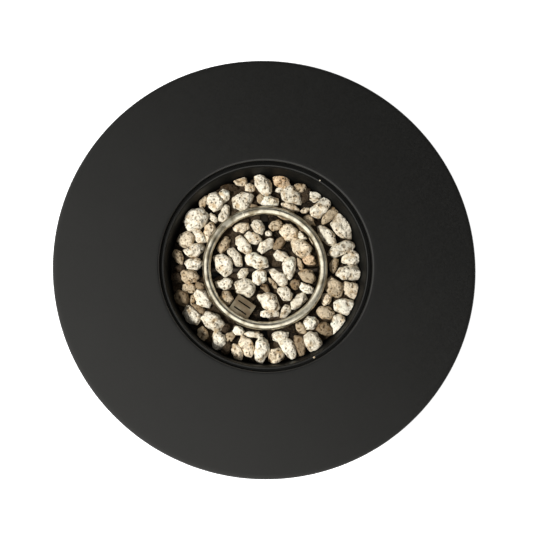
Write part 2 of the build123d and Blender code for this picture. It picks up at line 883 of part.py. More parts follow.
# Thrust collar: slides in the valve as the knob is pressed, while the stem turns inside it
collar_front = valve_front + seat * 2
with BuildPart() as thrust_collar:
    with Locations(Location((0, collar_front, console_centre), (-90, 0, 0))):
        Cylinder(collar_diameter / 2, collar_height, align=(Align.CENTER, Align.CENTER, Align.MIN))
        Cylinder(
            stem_diameter / 2 + running,
            collar_height,
            align=(Align.CENTER, Align.CENTER, Align.MIN),
            mode=Mode.SUBTRACT,
        )
export("thrust_collar", thrust_collar)

# Valve stem and knob: they turn together
knob_back = console_front - bonnet_reach - knob_travel - loose
stem_back = valve_front + chamber_depth + stem_inside
stem_front = knob_back - knob_bore_depth
with BuildPart() as valve_stem:
    with Locations(Location((0, stem_front, console_centre), (-90, 0, 0))):
        Cylinder(
            stem_diameter / 2,
            stem_back - stem_front,
            align=(Align.CENTER, Align.CENTER, Align.MIN),
        )
export("valve_stem", valve_stem)
with BuildPart() as control_knob:
    with BuildSketch(Plane.XZ.offset(-knob_back)):
        with Locations((0, console_centre)):
            Circle(knob_diameter / 2)
    extrude(amount=knob_height)
    with BuildSketch(Plane.XZ.offset(-knob_back + knob_height / 4)):
        with Locations((0, console_centre)):
            with PolarLocations(knob_diameter / 2 + knob_flute / 6, knob_flute_count, start_angle=15):
                Circle(knob_flute / 2)
    extrude(amount=knob_height, mode=Mode.SUBTRACT)
    front_rim = control_knob.faces().sort_by(Axis.Y)[0].edges()
    chamfer(front_rim, knob_ease)
    with Locations(Location((0, knob_back, console_centre), (90, 0, 0))):
        Cylinder(
            stem_diameter / 2 + running / 4,
            knob_bore_depth + seat,
            align=(Align.CENTER, Align.CENTER, Align.MIN),
            mode=Mode.SUBTRACT,
        )
    with Locations((0, knob_back - knob_height, console_centre + knob_diameter / 4)):
        Box(knob_flute / 3, knob_flute / 4, knob_diameter / 4, mode=Mode.SUBTRACT)
export("control_knob", control_knob)

# Igniter: the battery module behind the console, its nut and the push button in its bore
button_bore = button_diameter / 2 + running
with BuildPart() as igniter_module:
    with Locations(igniter_place):
        Cylinder(
            igniter_housing / 2,
            igniter_length,
            align=(Align.CENTER, Align.CENTER, Align.MAX),
        )
        Cylinder(
            igniter_flange / 2,
            igniter_flange_height,
            align=(Align.CENTER, Align.CENTER, Align.MIN),
        )
    with Locations(igniter_place * Location((0, 0, igniter_flange_height))):
        Cylinder(
            button_bore,
            igniter_flange_height + button_depth + button_travel,
            align=(Align.CENTER, Align.CENTER, Align.MAX),
            mode=Mode.SUBTRACT,
        )
    with Locations(igniter_place * Location((0, 0, -igniter_length))):
        Cylinder(
            terminal_diameter / 2,
            terminal_length,
            align=(Align.CENTER, Align.CENTER, Align.MAX),
        )
export("igniter_module", igniter_module)
with BuildPart() as igniter_nut:
    with Locations(igniter_place * Location((0, 0, -console_sheet))):
        Cylinder(
            igniter_flange / 2,
            igniter_flange_height * 2,
            align=(Align.CENTER, Align.CENTER, Align.MAX),
        )
        Cylinder(
            igniter_housing / 2 + running,
            igniter_flange_height * 2,
            align=(Align.CENTER, Align.CENTER, Align.MAX),
            mode=Mode.SUBTRACT,
        )
export("igniter_nut", igniter_nut)
with BuildPart() as igniter_button:
    with Locations(igniter_place * Location((0, 0, igniter_flange_height + button_reach))):
        Cylinder(
            button_diameter / 2,
            button_reach + button_depth,
            align=(Align.CENTER, Align.CENTER, Align.MAX),
        )
    fillet(igniter_button.edges().sort_by(Axis.Y)[0], 1)
export("igniter_button", igniter_button)

# Air mixer: a tube screwed on the inlet nipple, with two air windows, a collar and a jet hole
mixer_top = nipple_foot + mixer_length / 4
mixer_foot = mixer_top - mixer_length
window_level = mixer_foot + mixer_window_rise
collar_level = window_level - mixer_window_height / 2 - shutter_overlap - seat
with BuildPart() as air_mixer:
    with Locations((0, 0, mixer_foot)):
        Cylinder(mixer_diameter / 2, mixer_length, align=(Align.CENTER, Align.CENTER, Align.MIN))
    with Locations((0, 0, collar_level)):
        Cylinder(
            mixer_diameter / 2 + shutter_wall,
            mixer_collar,
            align=(Align.CENTER, Align.CENTER, Align.MAX),
        )
    with Locations((0, 0, nipple_foot - seat)):
        Cylinder(
            mixer_diameter / 2 - mixer_wall,
            nipple_foot - seat - mixer_foot - mixer_wall,
            align=(Align.CENTER, Align.CENTER, Align.MAX),
            mode=Mode.SUBTRACT,
        )
    with Locations((0, 0, mixer_top)):
        Cylinder(
            nipple_diameter / 2 + running,
            mixer_top - nipple_foot + seat,
            align=(Align.CENTER, Align.CENTER, Align.MAX),
            mode=Mode.SUBTRACT,
        )
    with Locations((0, 0, mixer_foot)):
        Cylinder(
            jet_thread / 2 + running,
            mixer_wall,
            align=(Align.CENTER, Align.CENTER, Align.MIN),
            mode=Mode.SUBTRACT,
        )
    with Locations((0, 0, window_level)):
        Box(mixer_window, mixer_diameter * 2, mixer_window_height, mode=Mode.SUBTRACT)
export("air_mixer", air_mixer)

# Air shutter: a sleeve that turns on the mixer to close its windows
shutter_length = mixer_window_height + 2 * shutter_overlap
with BuildPart() as air_shutter:
    with Locations((0, 0, window_level)):
        Cylinder(mixer_diameter / 2 + running + shutter_wall, shutter_length)
        Cylinder(mixer_diameter / 2 + running, shutter_length, mode=Mode.SUBTRACT)
        Box(mixer_window, mixer_diameter * 2, mixer_window_height, mode=Mode.SUBTRACT)
    with Locations(Location((mixer_diameter / 2 + shutter_wall / 2, 0, window_level), (0, 90, 0))):
        Cylinder(shutter_wall, shutter_overlap * 2, align=(Align.CENTER, Align.CENTER, Align.MIN))
export("air_shutter", air_shutter)

# Gas jet and its elbow under the mixer
jet_seat = mixer_foot - seat
elbow_level = jet_seat - jet_hex_height - elbow_drop - elbow_diameter / 2
with BuildPart() as gas_jet:
    with BuildSketch(Plane.XY.offset(jet_seat)):
        RegularPolygon(jet_hex / 2, 6, major_radius=False)
    extrude(amount=-jet_hex_height)
    with Locations((0, 0, jet_seat)):
        Cylinder(jet_thread / 2, jet_reach + seat, align=(Align.CENTER, Align.CENTER, Align.MIN))
        Cylinder(
            jet_orifice / 2,
            (jet_hex_height + jet_reach) * 2,
            mode=Mode.SUBTRACT,
        )
export("gas_jet", gas_jet)
with BuildPart() as jet_elbow:
    with Locations((0, 0, elbow_level)):
        Cylinder(
            elbow_diameter / 2,
            elbow_drop + elbow_diameter / 2,
            align=(Align.CENTER, Align.CENTER, Align.MIN),
        )
        Sphere(elbow_diameter / 2)
    with Locations(Location((0, 0, elbow_level), (90, 0, 0))):
        Cylinder(elbow_diameter / 2, elbow_reach, align=(Align.CENTER, Align.CENTER, Align.MIN))
export("jet_elbow", jet_elbow)

# Gas cylinder: foot ring, shell with domed heads and a guard collar open towards the front
cylinder_foot = base_top + seat
shell_foot = cylinder_foot + cylinder_lift
cylinder_radius = cylinder_diameter / 2
shell_top = cylinder_foot + cylinder_height - collar_ring_height + guard_overlap
side_foot = shell_foot + head_height
side_top = shell_top - head_height
cylinder_axis = Location((0, cylinder_y, 0))


def shell_form(inset):
    """The cylinder's shape with domed heads, drawn in by an inset all round."""
    knuckle_x = cylinder_radius - head_knuckle
    knuckle_radius = head_knuckle - inset
    crown_step = head_height - head_knuckle
    crown_rise = (knuckle_x**2 - crown_step**2) / (2 * crown_step)
    crown_radius = head_height + crown_rise - inset
    knuckle_turn = degrees(atan2(crown_rise, knuckle_x))
    with BuildPart() as form:
        with BuildSketch(Plane.XZ.offset(-cylinder_y)):
            with BuildLine():
                across = cylinder_radius - inset
                CenterArc((knuckle_x, side_foot), knuckle_radius, -knuckle_turn, knuckle_turn)
                CenterArc((knuckle_x, side_top), knuckle_radius, 0, knuckle_turn)
                crown_turn = 90 - knuckle_turn
                lower_crown = CenterArc((0, side_foot + crown_rise), crown_radius, -90, crown_turn)
                upper_crown = CenterArc((0, side_top - crown_rise), crown_radius, knuckle_turn, crown_turn)
                Line((across, side_foot), (across, side_top))
                Line(lower_crown @ 0, upper_crown @ 1)
            make_face()
        revolve(axis=Axis((0, cylinder_y, 0), (0, 0, 1)))
    return form.part


cylinder_form = shell_form(0)
with BuildPart() as gas_cylinder:
    add(cylinder_form)
    add(shell_form(cylinder_wall), mode=Mode.SUBTRACT)
    with Locations(cylinder_axis * Location((0, 0, shell_top))):
        Cylinder(cylinder_thread / 2 + running, head_height, mode=Mode.SUBTRACT)
export("gas_cylinder", gas_cylinder)


def cylinder_band(diameter, bottom, top):
    """An upright tube on the cylinder's axis, trimmed where it meets the domed head."""
    with BuildPart() as band:
        with BuildSketch(Plane.XY.offset(bottom)):
            with Locations((0, cylinder_y)):
                Circle(diameter / 2)
                Circle(diameter / 2 - cylinder_wall, mode=Mode.SUBTRACT)
        extrude(amount=top - bottom)
        add(cylinder_form, mode=Mode.SUBTRACT)
    return band.part


with BuildPart() as cylinder_foot_ring:
    add(cylinder_band(foot_ring_diameter, cylinder_foot, side_foot))
export("cylinder_foot_ring", cylinder_foot_ring)

# Cylinder guard: the welded collar that shields the valve and carries the cylinder
guard_top = cylinder_foot + cylinder_height
guard_window_level = guard_top - collar_window_height
gap_half = radians(collar_gap_angle / 2)
gap_reach = collar_ring_diameter
with BuildPart() as cylinder_guard:
    add(cylinder_band(collar_ring_diameter, side_top, guard_top))
    with BuildSketch(Plane.XY.offset(side_top)):
        with BuildLine():
            Polyline(
                (0, cylinder_y),
                (gap_reach * sin(gap_half), cylinder_y - gap_reach * cos(gap_half)),
                (-gap_reach * sin(gap_half), cylinder_y - gap_reach * cos(gap_half)),
                close=True,
            )
        make_face()
    extrude(amount=cylinder_height, mode=Mode.SUBTRACT)
    with BuildSketch(Plane.XZ.offset(-cylinder_y)):
        with Locations((0, guard_window_level)):
            SlotOverall(collar_window_width, collar_window_height)
    extrude(amount=-collar_ring_diameter, mode=Mode.SUBTRACT)
    with BuildSketch(Plane.YZ):
        with Locations((cylinder_y, guard_window_level)):
            SlotOverall(collar_window_width, collar_window_height)
    extrude(amount=collar_ring_diameter, both=True, mode=Mode.SUBTRACT)
export("cylinder_guard", cylinder_guard)

# Locating ring: a low band on the base plate that the cylinder's foot ring stands inside
with BuildPart() as locating_ring:
    with BuildSketch(Plane.XY.offset(base_top)):
        with Locations((0, cylinder_y)):
            Circle(foot_ring_diameter / 2 + loose + locating_sheet)
            Circle(foot_ring_diameter / 2 + loose, mode=Mode.SUBTRACT)
    extrude(amount=locating_height)
export("locating_ring", locating_ring)

# Cylinder valve: a brass body with its outlet towards the front
valve_foot = shell_top + seat
outlet_level = valve_foot + outlet_rise
outlet_reach = handwheel_diameter / 2 + handwheel_gap + coupling_length / 3
outlet_turn = Location((0, cylinder_y, outlet_level), (90, 0, 0))
with BuildPart() as cylinder_valve:
    with Locations(cylinder_axis * Location((0, 0, valve_foot))):
        Cylinder(
            cylinder_valve_diameter / 2,
            cylinder_valve_height,
            align=(Align.CENTER, Align.CENTER, Align.MIN),
        )
    with Locations(cylinder_axis * Location((0, 0, valve_foot))):
        Cylinder(
            cylinder_thread / 2,
            cylinder_lift,
            align=(Align.CENTER, Align.CENTER, Align.MAX),
        )
    with Locations(outlet_turn):
        Cylinder(outlet_diameter / 2, outlet_reach, align=(Align.CENTER, Align.CENTER, Align.MIN))
    with Locations(cylinder_axis * Location((0, 0, valve_foot + cylinder_valve_height))):
        Cylinder(
            spindle_diameter / 2,
            spindle_height,
            align=(Align.CENTER, Align.CENTER, Align.MIN),
        )
export("cylinder_valve", cylinder_valve)

# Handwheel: the lobed wheel on the valve's spindle
wheel_foot = valve_foot + cylinder_valve_height + seat
with BuildPart() as valve_handwheel:
    with BuildSketch(Plane.XY.offset(wheel_foot)):
        with Locations((0, cylinder_y)):
            Circle(handwheel_diameter / 2)
            with PolarLocations(handwheel_diameter / 2 + handwheel_scallop / 3, handwheel_lobes):
                Circle(handwheel_scallop / 2, mode=Mode.SUBTRACT)
            Circle(spindle_diameter / 2 + running, mode=Mode.SUBTRACT)
    extrude(amount=handwheel_height)
export("valve_handwheel", valve_handwheel)

# Coupling nut and regulator on the valve's outlet
nut_back = cylinder_y - outlet_reach + coupling_length / 3
nut_front = nut_back - coupling_length
with BuildPart() as coupling_nut:
    with BuildSketch(Plane.XZ.offset(-nut_back)):
        with Locations((0, outlet_level)):
            Circle(coupling_diameter / 2)
            with PolarLocations(coupling_diameter / 2 + handwheel_scallop / 3, handwheel_lobes):
                Circle(handwheel_scallop / 2, mode=Mode.SUBTRACT)
    extrude(amount=coupling_length)
    with Locations(Location((0, nut_back, outlet_level), (90, 0, 0))):
        Cylinder(
            outlet_diameter / 2 + running,
            coupling_length / 3 + seat,
            align=(Align.CENTER, Align.CENTER, Align.MIN),
            mode=Mode.SUBTRACT,
        )
        Cylinder(
            regulator_neck / 2 + running,
            coupling_length,
            align=(Align.CENTER, Align.CENTER, Align.MIN),
            mode=Mode.SUBTRACT,
        )
export("coupling_nut", coupling_nut)
regulator_y = nut_front - seat - regulator_diameter / 2
neck_length = coupling_length * 2 / 3 + regulator_diameter / 4
with BuildPart() as regulator:
    with Locations((0, regulator_y, outlet_level)):
        Cylinder(regulator_diameter / 2, regulator_height)
    chamfer(regulator.edges().filter_by(GeomType.CIRCLE), regulator_height / 8)
    with Locations((0, regulator_y, outlet_level + regulator_height / 2)):
        Cylinder(
            regulator_cap / 2,
            regulator_cap_height,
            align=(Align.CENTER, Align.CENTER, Align.MIN),
        )
    with Locations(Location((0, regulator_y + regulator_diameter / 4, outlet_level), (-90, 0, 0))):
        Cylinder(regulator_neck / 2, neck_length, align=(Align.CENTER, Align.CENTER, Align.MIN))
    with Locations(Location((-regulator_diameter / 4, regulator_y, outlet_level), (0, -90, 0))):
        Cylinder(
            barb_diameter / 2,
            regulator_diameter / 4 + barb_length,
            align=(Align.CENTER, Align.CENTER, Align.MIN),
        )
export("regulator", regulator)


def bend_radii(route):
    """The largest arc that each corner of a route allows: 0.45 of its shorter run over tan(half turn)."""
    radii = []
    for before, corner, after in zip(route, route[1:], route[2:]):
        into = Vector(*corner) - Vector(*before)
        out = Vector(*after) - Vector(*corner)
        turn = radians(into.get_angle(out))
        radii.append(0.45 * min(into.length, out.length) / tan(turn / 2))
    return radii


def flexible_line(route, diameter, sides):
    """A hose or lead along straight runs joined by tangent arcs; prints its tightest bend and volumes."""
    radii = bend_radii(route)
    with BuildPart() as line:
        with BuildLine() as path:
            FilletPolyline(*route, radius=radii)
        with BuildSketch(Plane(route[0], z_dir=Vector(*route[1]) - Vector(*route[0]))) as section:
            RegularPolygon(diameter / 2, sides)
        sweep()
    ideal = section.sketch.area * sum(edge.length for edge in path.edges())
    print(f"line {diameter} mm: tightest bend {min(radii):.0f}, volume {line.part.volume:.0f} of {ideal:.0f}")
    return line


# Gas hose: from the regulator round the front of the cylinder and up to the valve's inlet
hose_start = (-regulator_diameter / 2 - barb_length - seat, regulator_y, outlet_level)
inlet_y = valve_front + valve_depth / 2
inlet_level = console_centre - valve_block / 2 - valve_boss_length - seat
hose_route = [
    hose_start,
    (-112, regulator_y, outlet_level),
    (-160, regulator_y - 52, outlet_level - 12),
    (-178, -100, outlet_level - 32),
    (-150, -185, outlet_level - 42),
    (-88, -245, outlet_level - 44),
    (-30, inlet_y + 14, outlet_level - 28),
    (0, inlet_y, inlet_level - 56),
    (0, inlet_y, inlet_level),
]
export("gas_hose", flexible_line(hose_route, hose_diameter, 12))

# Supply line: from the valve's outlet back to the elbow under the mixer
outlet_end = valve_back + valve_boss_length + seat
elbow_end = -elbow_reach - seat
supply_route = [
    (0, outlet_end, console_centre + bonnet_reach),
    (0, outlet_end + 36, console_centre + bonnet_reach),
    (16, outlet_end + 74, console_centre - 16),
    (24, outlet_end + 114, console_centre - 40),
    (18, elbow_end - 62, elbow_level + 10),
    (0, elbow_end - 30, elbow_level),
    (0, elbow_end, elbow_level),
]
export("supply_line", flexible_line(supply_route, supply_diameter, 10))

# Ignition lead: from the igniter module up to the electrode
electrode_point = electrode_at.position
lead_end = electrode_foot - seat
module_end = console_front + igniter_length + terminal_length + seat
ignition_route = [
    (igniter_x, module_end, console_centre),
    (igniter_x, module_end + 34, console_centre),
    (igniter_x - 28, module_end + 74, console_centre + 2),
    (4, electrode_point.Y - 52, console_centre + 3),
    (electrode_point.X + 28, electrode_point.Y - 16, lead_end - 26),
    (electrode_point.X, electrode_point.Y, lead_end - 30),
    (electrode_point.X, electrode_point.Y, lead_end),
]
export("ignition_lead", flexible_line(ignition_route, lead_diameter, 6))

# Sensor lead: from the back of the gas valve up to the flame sensor
probe_point = probe_at.position
sensor_route = [
    (-valve_block / 4, valve_back + seat, console_centre - valve_block / 4),
    (-valve_block / 4, valve_back + 36, console_centre - valve_block / 4),
    (-valve_block, valve_back + 76, console_centre - 8),
    (probe_point.X - 6, probe_point.Y - 68, console_centre - 6),
    (probe_point.X - 4, probe_point.Y - 32, lead_end - 34),
    (probe_point.X, probe_point.Y, lead_end - 32),
    (probe_point.X, probe_point.Y, lead_end),
]
export("sensor_lead", flexible_line(sensor_route, lead_diameter, 6))

# Stones of the top layer as they lie: x, y, length, width and turn in degrees, from the ring's centre
outer_stones = [
    (-147, 164, 31, 19, 75),
    (-117, 160, 40, 36, 60),
    (-27, 153, 26, 12, -15),
    (-97, 177, 34, 24, 70),
    (-85, 197, 44, 16, 0),
    (-58, 213, 34, 21, 10),
    (-35, 197, 28, 20, 0),
    (-4, 205, 56, 36, -50),
    (-52, 165, 56, 44, 20),
    (-11, 173, 26, 16, 70),
    (-165, 118, 64, 44, 40),
    (-98, 134, 48, 22, 75),
    (-125, 124, 30, 19, -50),
    (-134, 88, 54, 27, 75),
    (-157, 78, 40, 26, -40),
    (-187, 70, 40, 33, 50),
    (-167, 44, 54, 34, 20),
    (-205, 27, 40, 24, -75),
    (-170, 11, 42, 32, 15),
    (-203, 0, 22, 16, 0),
    (42, 213, 42, 32, -35),
    (36, 193, 20, 12, 0),
    (85, 199, 34, 20, 10),
    (64, 177, 60, 34, -35),
    (62, 152, 48, 22, -25),
    (12, 165, 44, 30, 0),
    (98, 178, 34, 22, 60),
    (123, 176, 30, 20, -10),
    (133, 147, 52, 38, 40),
    (99, 144, 26, 15, 20),
    (108, 121, 34, 20, -45),
    (157, 131, 48, 26, 50),
    (184, 102, 60, 36, -50),
    (150, 84, 70, 30, -50),
    (178, 48, 60, 30, 25),
    (207, 27, 44, 32, -5),
    (167, 10, 38, 22, 70),
    (196, -9, 46, 36, 0),
    (-180, -20, 54, 34, -5),
    (-208, -24, 28, 20, -60),
    (-177, -48, 34, 22, -30),
    (-197, -72, 38, 32, -60),
    (-150, -74, 60, 32, -50),
    (-155, -42, 30, 18, -20),
    (-171, -75, 24, 10, 90),
    (-171, -112, 48, 32, -50),
    (-157, -98, 36, 22, -40),
    (-122, -128, 60, 40, -35),
    (-147, -157, 38, 24, -70),
    (-110, -172, 44, 30, -80),
    (-82, -163, 28, 20, 20),
    (-62, -150, 30, 22, 10),
    (-93, -143, 24, 18, 30),
    (-24, -159, 48, 16, -5),
    (-65, -200, 42, 26, -60),
    (-42, -185, 52, 30, -60),
    (-7, -192, 56, 38, 85),
    (-89, -190, 34, 22, 60),
    (168, -44, 56, 40, -50),
    (203, -48, 42, 30, -60),
    (188, -87, 50, 36, 5),
    (149, -72, 38, 26, 60),
    (146, -105, 46, 30, -25),
    (174, -128, 44, 30, 55),
    (112, -130, 36, 34, 0),
    (142, -141, 38, 26, -20),
    (115, -173, 48, 40, -50),
    (87, -143, 34, 20, -45),
    (38, -162, 46, 26, 15),
    (54, -186, 52, 32, -55),
    (28, -205, 40, 30, 30),
    (83, -178, 44, 26, -70),
]
inner_stones = [
    (-97, 60, 44, 26, 60),
    (-57, 100, 42, 24, 15),
    (-17, 103, 42, 30, -50),
    (-28, 75, 42, 28, -25),
    (-52, 58, 60, 28, -50),
    (-71, 28, 64, 26, -55),
    (-100, 10, 58, 42, -60),
    (-19, 19, 64, 36, -20),
    (3, 58, 52, 24, 35),
    (28, 107, 38, 26, 25),
    (60, 90, 52, 38, -15),
    (90, 84, 26, 20, -30),
    (90, 50, 62, 42, -40),
    (10, 86, 18, 16, 0),
    (34, 62, 38, 20, 40),
    (40, 32, 40, 26, -20),
    (60, 4, 54, 32, 80),
    (86, 12, 36, 14, -70),
    (109, 22, 40, 24, -10),
    (-97, -37, 42, 28, 15),
    (-52, -11, 32, 22, 35),
    (-47, -45, 58, 40, -25),
    (-13, -20, 42, 32, 60),
    (-92, -72, 38, 30, -70),
    (3, -49, 30, 16, -50),
    (11, -80, 62, 38, -45),
    (12, -108, 50, 20, 0),
    (35, -21, 62, 26, -45),
    (20, -34, 34, 12, -50),
    (50, -57, 50, 26, -40),
    (74, -36, 28, 22, 60),
    (82, -77, 52, 30, 40),
    (102, -45, 38, 22, -20),
    (104, -16, 44, 32, -30),
    (50, -101, 32, 20, 60),
]


def reach(stone, direction):
    """Half the breadth of a stone's oval along a direction in radians."""
    length, width, turn = stone[2:]
    angle = direction - radians(turn)
    return hypot(length / 2 * cos(angle), width / 2 * sin(angle))


def stone_outline(stone):
    """The uncut outline of a stone: an oval with a few corners, no two stones cornered alike."""
    x, y, length, width, turn = stone
    points = []
    for corner in range(stone_corners):
        angle = 2 * pi * corner / stone_corners + x
        swell = 1 + 0.07 * sin(3 * angle + y)
        along, across = length / 2 * swell * cos(angle), width / 2 * swell * sin(angle)
        lean = radians(turn)
        offset_x = along * cos(lean) - across * sin(lean)
        offset_y = along * sin(lean) + across * cos(lean)
        points.append((x + offset_x, y + offset_y))
    return points


def cut_outline(outline, direction, limit):
    """The part of an outline whose distance along a direction stays within a limit."""
    kept = []
    for start, end in zip(outline, outline[1:] + outline[:1]):
        start_over = start[0] * cos(direction) + start[1] * sin(direction) - limit
        end_over = end[0] * cos(direction) + end[1] * sin(direction) - limit
        if start_over <= 0:
            kept.append(start)
        if start_over * end_over < 0:
            share = start_over / (start_over - end_over)
            kept.append((start[0] + share * (end[0] - start[0]), start[1] + share * (end[1] - start[1])))
    return kept


def keep_off_shield(outline, stone):
    """Cut an outline back to the side of the igniter shield that its stone lies on."""
    sides = []
    for quarter in range(4):
        direction = radians(shield_turn + 90 * quarter)
        half = (shield_width if quarter % 2 else shield_length) / 2
        face = shield_x * cos(direction) + shield_y * sin(direction) + half
        sides.append((stone[0] * cos(direction) + stone[1] * sin(direction) - face, direction, face))
    direction, face = max(sides)[1:]
    return cut_outline(outline, direction + pi, -face - stone_gap)


def keep_off_feed(outline, stone):
    """Cut an outline back to the side of the feed pipe that its stone lies on."""
    if abs(stone[0]) > ring_radius + feed_tube:
        return outline
    return cut_outline(outline, -pi / 2 if stone[1] > 0 else pi / 2, -feed_tube / 2 - stone_gap)


def keep_off_stand(outline, stone):
    """Cut an outline back to the side of a burner stand that its stone lies on."""
    beside = abs(abs(stone[1]) - ring_radius) < lower_stone_width / 2 + stand_foot / 2
    if not beside:
        return outline
    return cut_outline(outline, pi if stone[0] > 0 else 0, -stand_width / 2 - stone_gap)


def fitted_outline(stone, neighbours, nearest, furthest):
    """A stone's outline, cut midway to its neighbours and kept between two circles about the centre."""
    x, y = stone[:2]
    outline = stone_outline(stone)
    for other in neighbours:
        gap = hypot(other[0] - x, other[1] - y)
        direction = atan2(other[1] - y, other[0] - x)
        own, theirs = reach(stone, direction), reach(other, direction)
        if other is not stone and gap < 1.15 * (own + theirs):
            edge = gap * own / (own + theirs) - stone_gap / 2
            outline = cut_outline(outline, direction, x * cos(direction) + y * sin(direction) + edge)
    outward = atan2(y, x)
    outline = cut_outline(outline, outward, furthest)
    if nearest:
        outline = cut_outline(outline, outward + pi, -nearest)
    return keep_off_shield(outline, stone)


def open_corners(outline):
    """An outline without the corners that lie within a millimetre of the one before."""
    before = outline[-1:] + outline[:-1]
    pairs = zip(outline, before)
    return [point for point, last in pairs if hypot(point[0] - last[0], point[1] - last[1]) > 1]


def narrowest(outline):
    """The least breadth of an outline over a dozen directions; 0 if too few corners are left."""
    if len(open_corners(outline)) < 3:
        return 0
    breadths = []
    for step in range(12):
        direction = pi * step / 12
        along = [x * cos(direction) + y * sin(direction) for x, y in outline]
        breadths.append(max(along) - min(along))
    return min(breadths)


def stone_solid(outline, foot, height, form=top_stone_form):
    """A stone: its outline at mid height, drawn in towards its foot and its crown by the form's shares."""
    corners = open_corners(outline)
    middle_x = sum(point[0] for point in corners) / len(corners)
    middle_y = sum(point[1] for point in corners) / len(corners)
    rings = []
    for level, share in form:
        ring = [(middle_x + share * (x - middle_x), middle_y + share * (y - middle_y)) for x, y in corners]
        rings.append([(x, y, foot + level * height) for x, y in ring])
    faces = [Face(Wire.make_polygon(rings[0])), Face(Wire.make_polygon(rings[-1]))]
    for low, high in zip(rings, rings[1:]):
        for first, second, third, fourth in zip(low, low[1:] + low[:1], high[1:] + high[:1], high):
            faces.append(Face(Wire.make_polygon([first, second, third, fourth])))
    return Solid(Shell(faces))


def top_stones(stones, nearest, furthest):
    """The solids of one group of top stones, without the chips that a narrower pan would leave."""
    solids = []
    for stone in stones:
        outline = fitted_outline(stone, stones, nearest, furthest)
        height = min(max(stone_rise * stone[3], stone_least), stone_most)
        if narrowest(outline) > stone_chip:
            solids.append(stone_solid(outline, stone_floor, height))
    return solids


# Top stones: outside the ring up to the pan's wall, and inside the ring
wall_limit = pan_inside(stone_floor + top_stone_form[1][0] * stone_least) - stone_wall_gap
inner_limit = ring_radius - ring_tube / 2 - 4
with BuildPart() as outer_pumice:
    add(top_stones(outer_stones, ring_radius + ring_tube / 2 + loose, wall_limit))
export("outer_pumice", outer_pumice)
with BuildPart() as inner_pumice:
    add(top_stones(inner_stones, 0, inner_limit))
export("inner_pumice", inner_pumice)

# Stones under the ring, low enough to clear it, between the feed pipe's ends, the stands and the shield
ring_stone_height = ring_under - seat * 2 - stone_floor
low_stones = []
for number in range(ring_stone_count):
    turn = (number + 0.5) * 360 / ring_stone_count
    x, y = ring_radius * cos(radians(turn)), ring_radius * sin(radians(turn))
    if abs(sin(radians(2 * turn))) > 0.5 and hypot(x - shield_x, y - shield_y) > shield_length:
        low_stones.append((x, y, ring_stone_length, ring_stone_width, turn + 90))
low_outlines = [fitted_outline(stone, low_stones, 0, top_radius) for stone in low_stones]
with BuildPart() as ring_pumice:
    add([stone_solid(outline, stone_floor, ring_stone_height) for outline in low_outlines])
export("ring_pumice", ring_pumice)

# Lower layer: circles of broad stones on the pan floor, which the top stones lie on
lower_reach = pan_floor_radius - pan_corner_radius / 2
lower_stones = []
for circle in range(lower_stone_rings):
    circle_radius = lower_reach - (circle + 0.5) * lower_stone_pitch
    count = int(2 * pi * circle_radius / lower_stone_pitch)
    for number in range(count):
        turn = (number + 0.5) * 360 / count
        x, y = circle_radius * cos(radians(turn)), circle_radius * sin(radians(turn))
        lower_stones.append((x, y, lower_stone_length, lower_stone_width, turn))
lower_solids = []
for stone in lower_stones:
    outline = fitted_outline(stone, lower_stones, pan_nut / 2 + 4, lower_reach)
    outline = keep_off_stand(keep_off_feed(outline, stone), stone)
    inside = (shield_at.inverse() * Location((stone[0], stone[1], 0))).position
    clear = abs(inside.X) > shield_length / 2 or abs(inside.Y) > shield_width / 2
    if clear and narrowest(outline) > stone_sliver:
        lower_solids.append(stone_solid(outline, pan_floor + seat, lower_stone_height, lower_stone_form))
with BuildPart() as lower_pumice:
    add(lower_solids)
export("lower_pumice", lower_pumice)
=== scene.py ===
"""Looks of the round gas fire table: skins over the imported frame, their finishes, the studio and the camera."""

import json
import logging
import math
from dataclasses import dataclass
from enum import Enum
from functools import cache
from typing import Sequence

import bmesh
import bpy
import numpy as np
from mathutils import Matrix, Vector

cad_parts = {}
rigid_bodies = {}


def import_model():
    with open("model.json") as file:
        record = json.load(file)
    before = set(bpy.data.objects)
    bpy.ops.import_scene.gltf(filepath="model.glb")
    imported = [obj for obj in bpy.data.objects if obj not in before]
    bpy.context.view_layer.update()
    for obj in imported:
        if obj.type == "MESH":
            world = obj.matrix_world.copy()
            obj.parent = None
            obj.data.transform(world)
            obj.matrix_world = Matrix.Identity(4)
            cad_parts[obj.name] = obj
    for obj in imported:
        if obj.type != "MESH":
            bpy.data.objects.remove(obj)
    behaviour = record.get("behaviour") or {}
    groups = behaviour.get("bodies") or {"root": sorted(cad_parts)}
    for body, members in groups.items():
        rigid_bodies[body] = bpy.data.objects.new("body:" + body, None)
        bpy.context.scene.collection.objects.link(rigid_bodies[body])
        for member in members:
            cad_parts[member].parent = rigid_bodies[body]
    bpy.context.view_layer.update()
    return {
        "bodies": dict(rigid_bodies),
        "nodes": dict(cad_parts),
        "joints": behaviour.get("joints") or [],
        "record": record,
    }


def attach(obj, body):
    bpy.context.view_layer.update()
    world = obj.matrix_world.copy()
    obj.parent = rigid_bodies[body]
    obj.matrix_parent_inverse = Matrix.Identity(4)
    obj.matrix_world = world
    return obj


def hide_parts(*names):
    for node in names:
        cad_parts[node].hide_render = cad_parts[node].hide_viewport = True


log = logging.getLogger("fire_table")

MM = 0.001
IMAGE_WIDTH_PX = 533
# Name of the colour attribute that holds each stone's tone times its painted shade.
TONE_WITH_PAINTED_SHADE = "tone"
MERGE_M = 1e-6
WELD_M = 2e-6
TINY = 1e-6
SHARP_FROM_DEG = 34.0
NEVER_SHARP_DEG = 180.0
EASED_FROM_DEG = 40.0
EASED_STEPS = 2
HASH_PRIMES = np.array([73856093, 19349663, 83492791])
HASH_SEED = 2654435761
HASH_MIX = 1274126177
HASH_TOP = 0xFFFF
SEED_SHIFT = 31.7
ROCK_SEED, PIT_SEED, BLOTCH_SEED, CRUMB_SEED = 100, 7, 11, 40

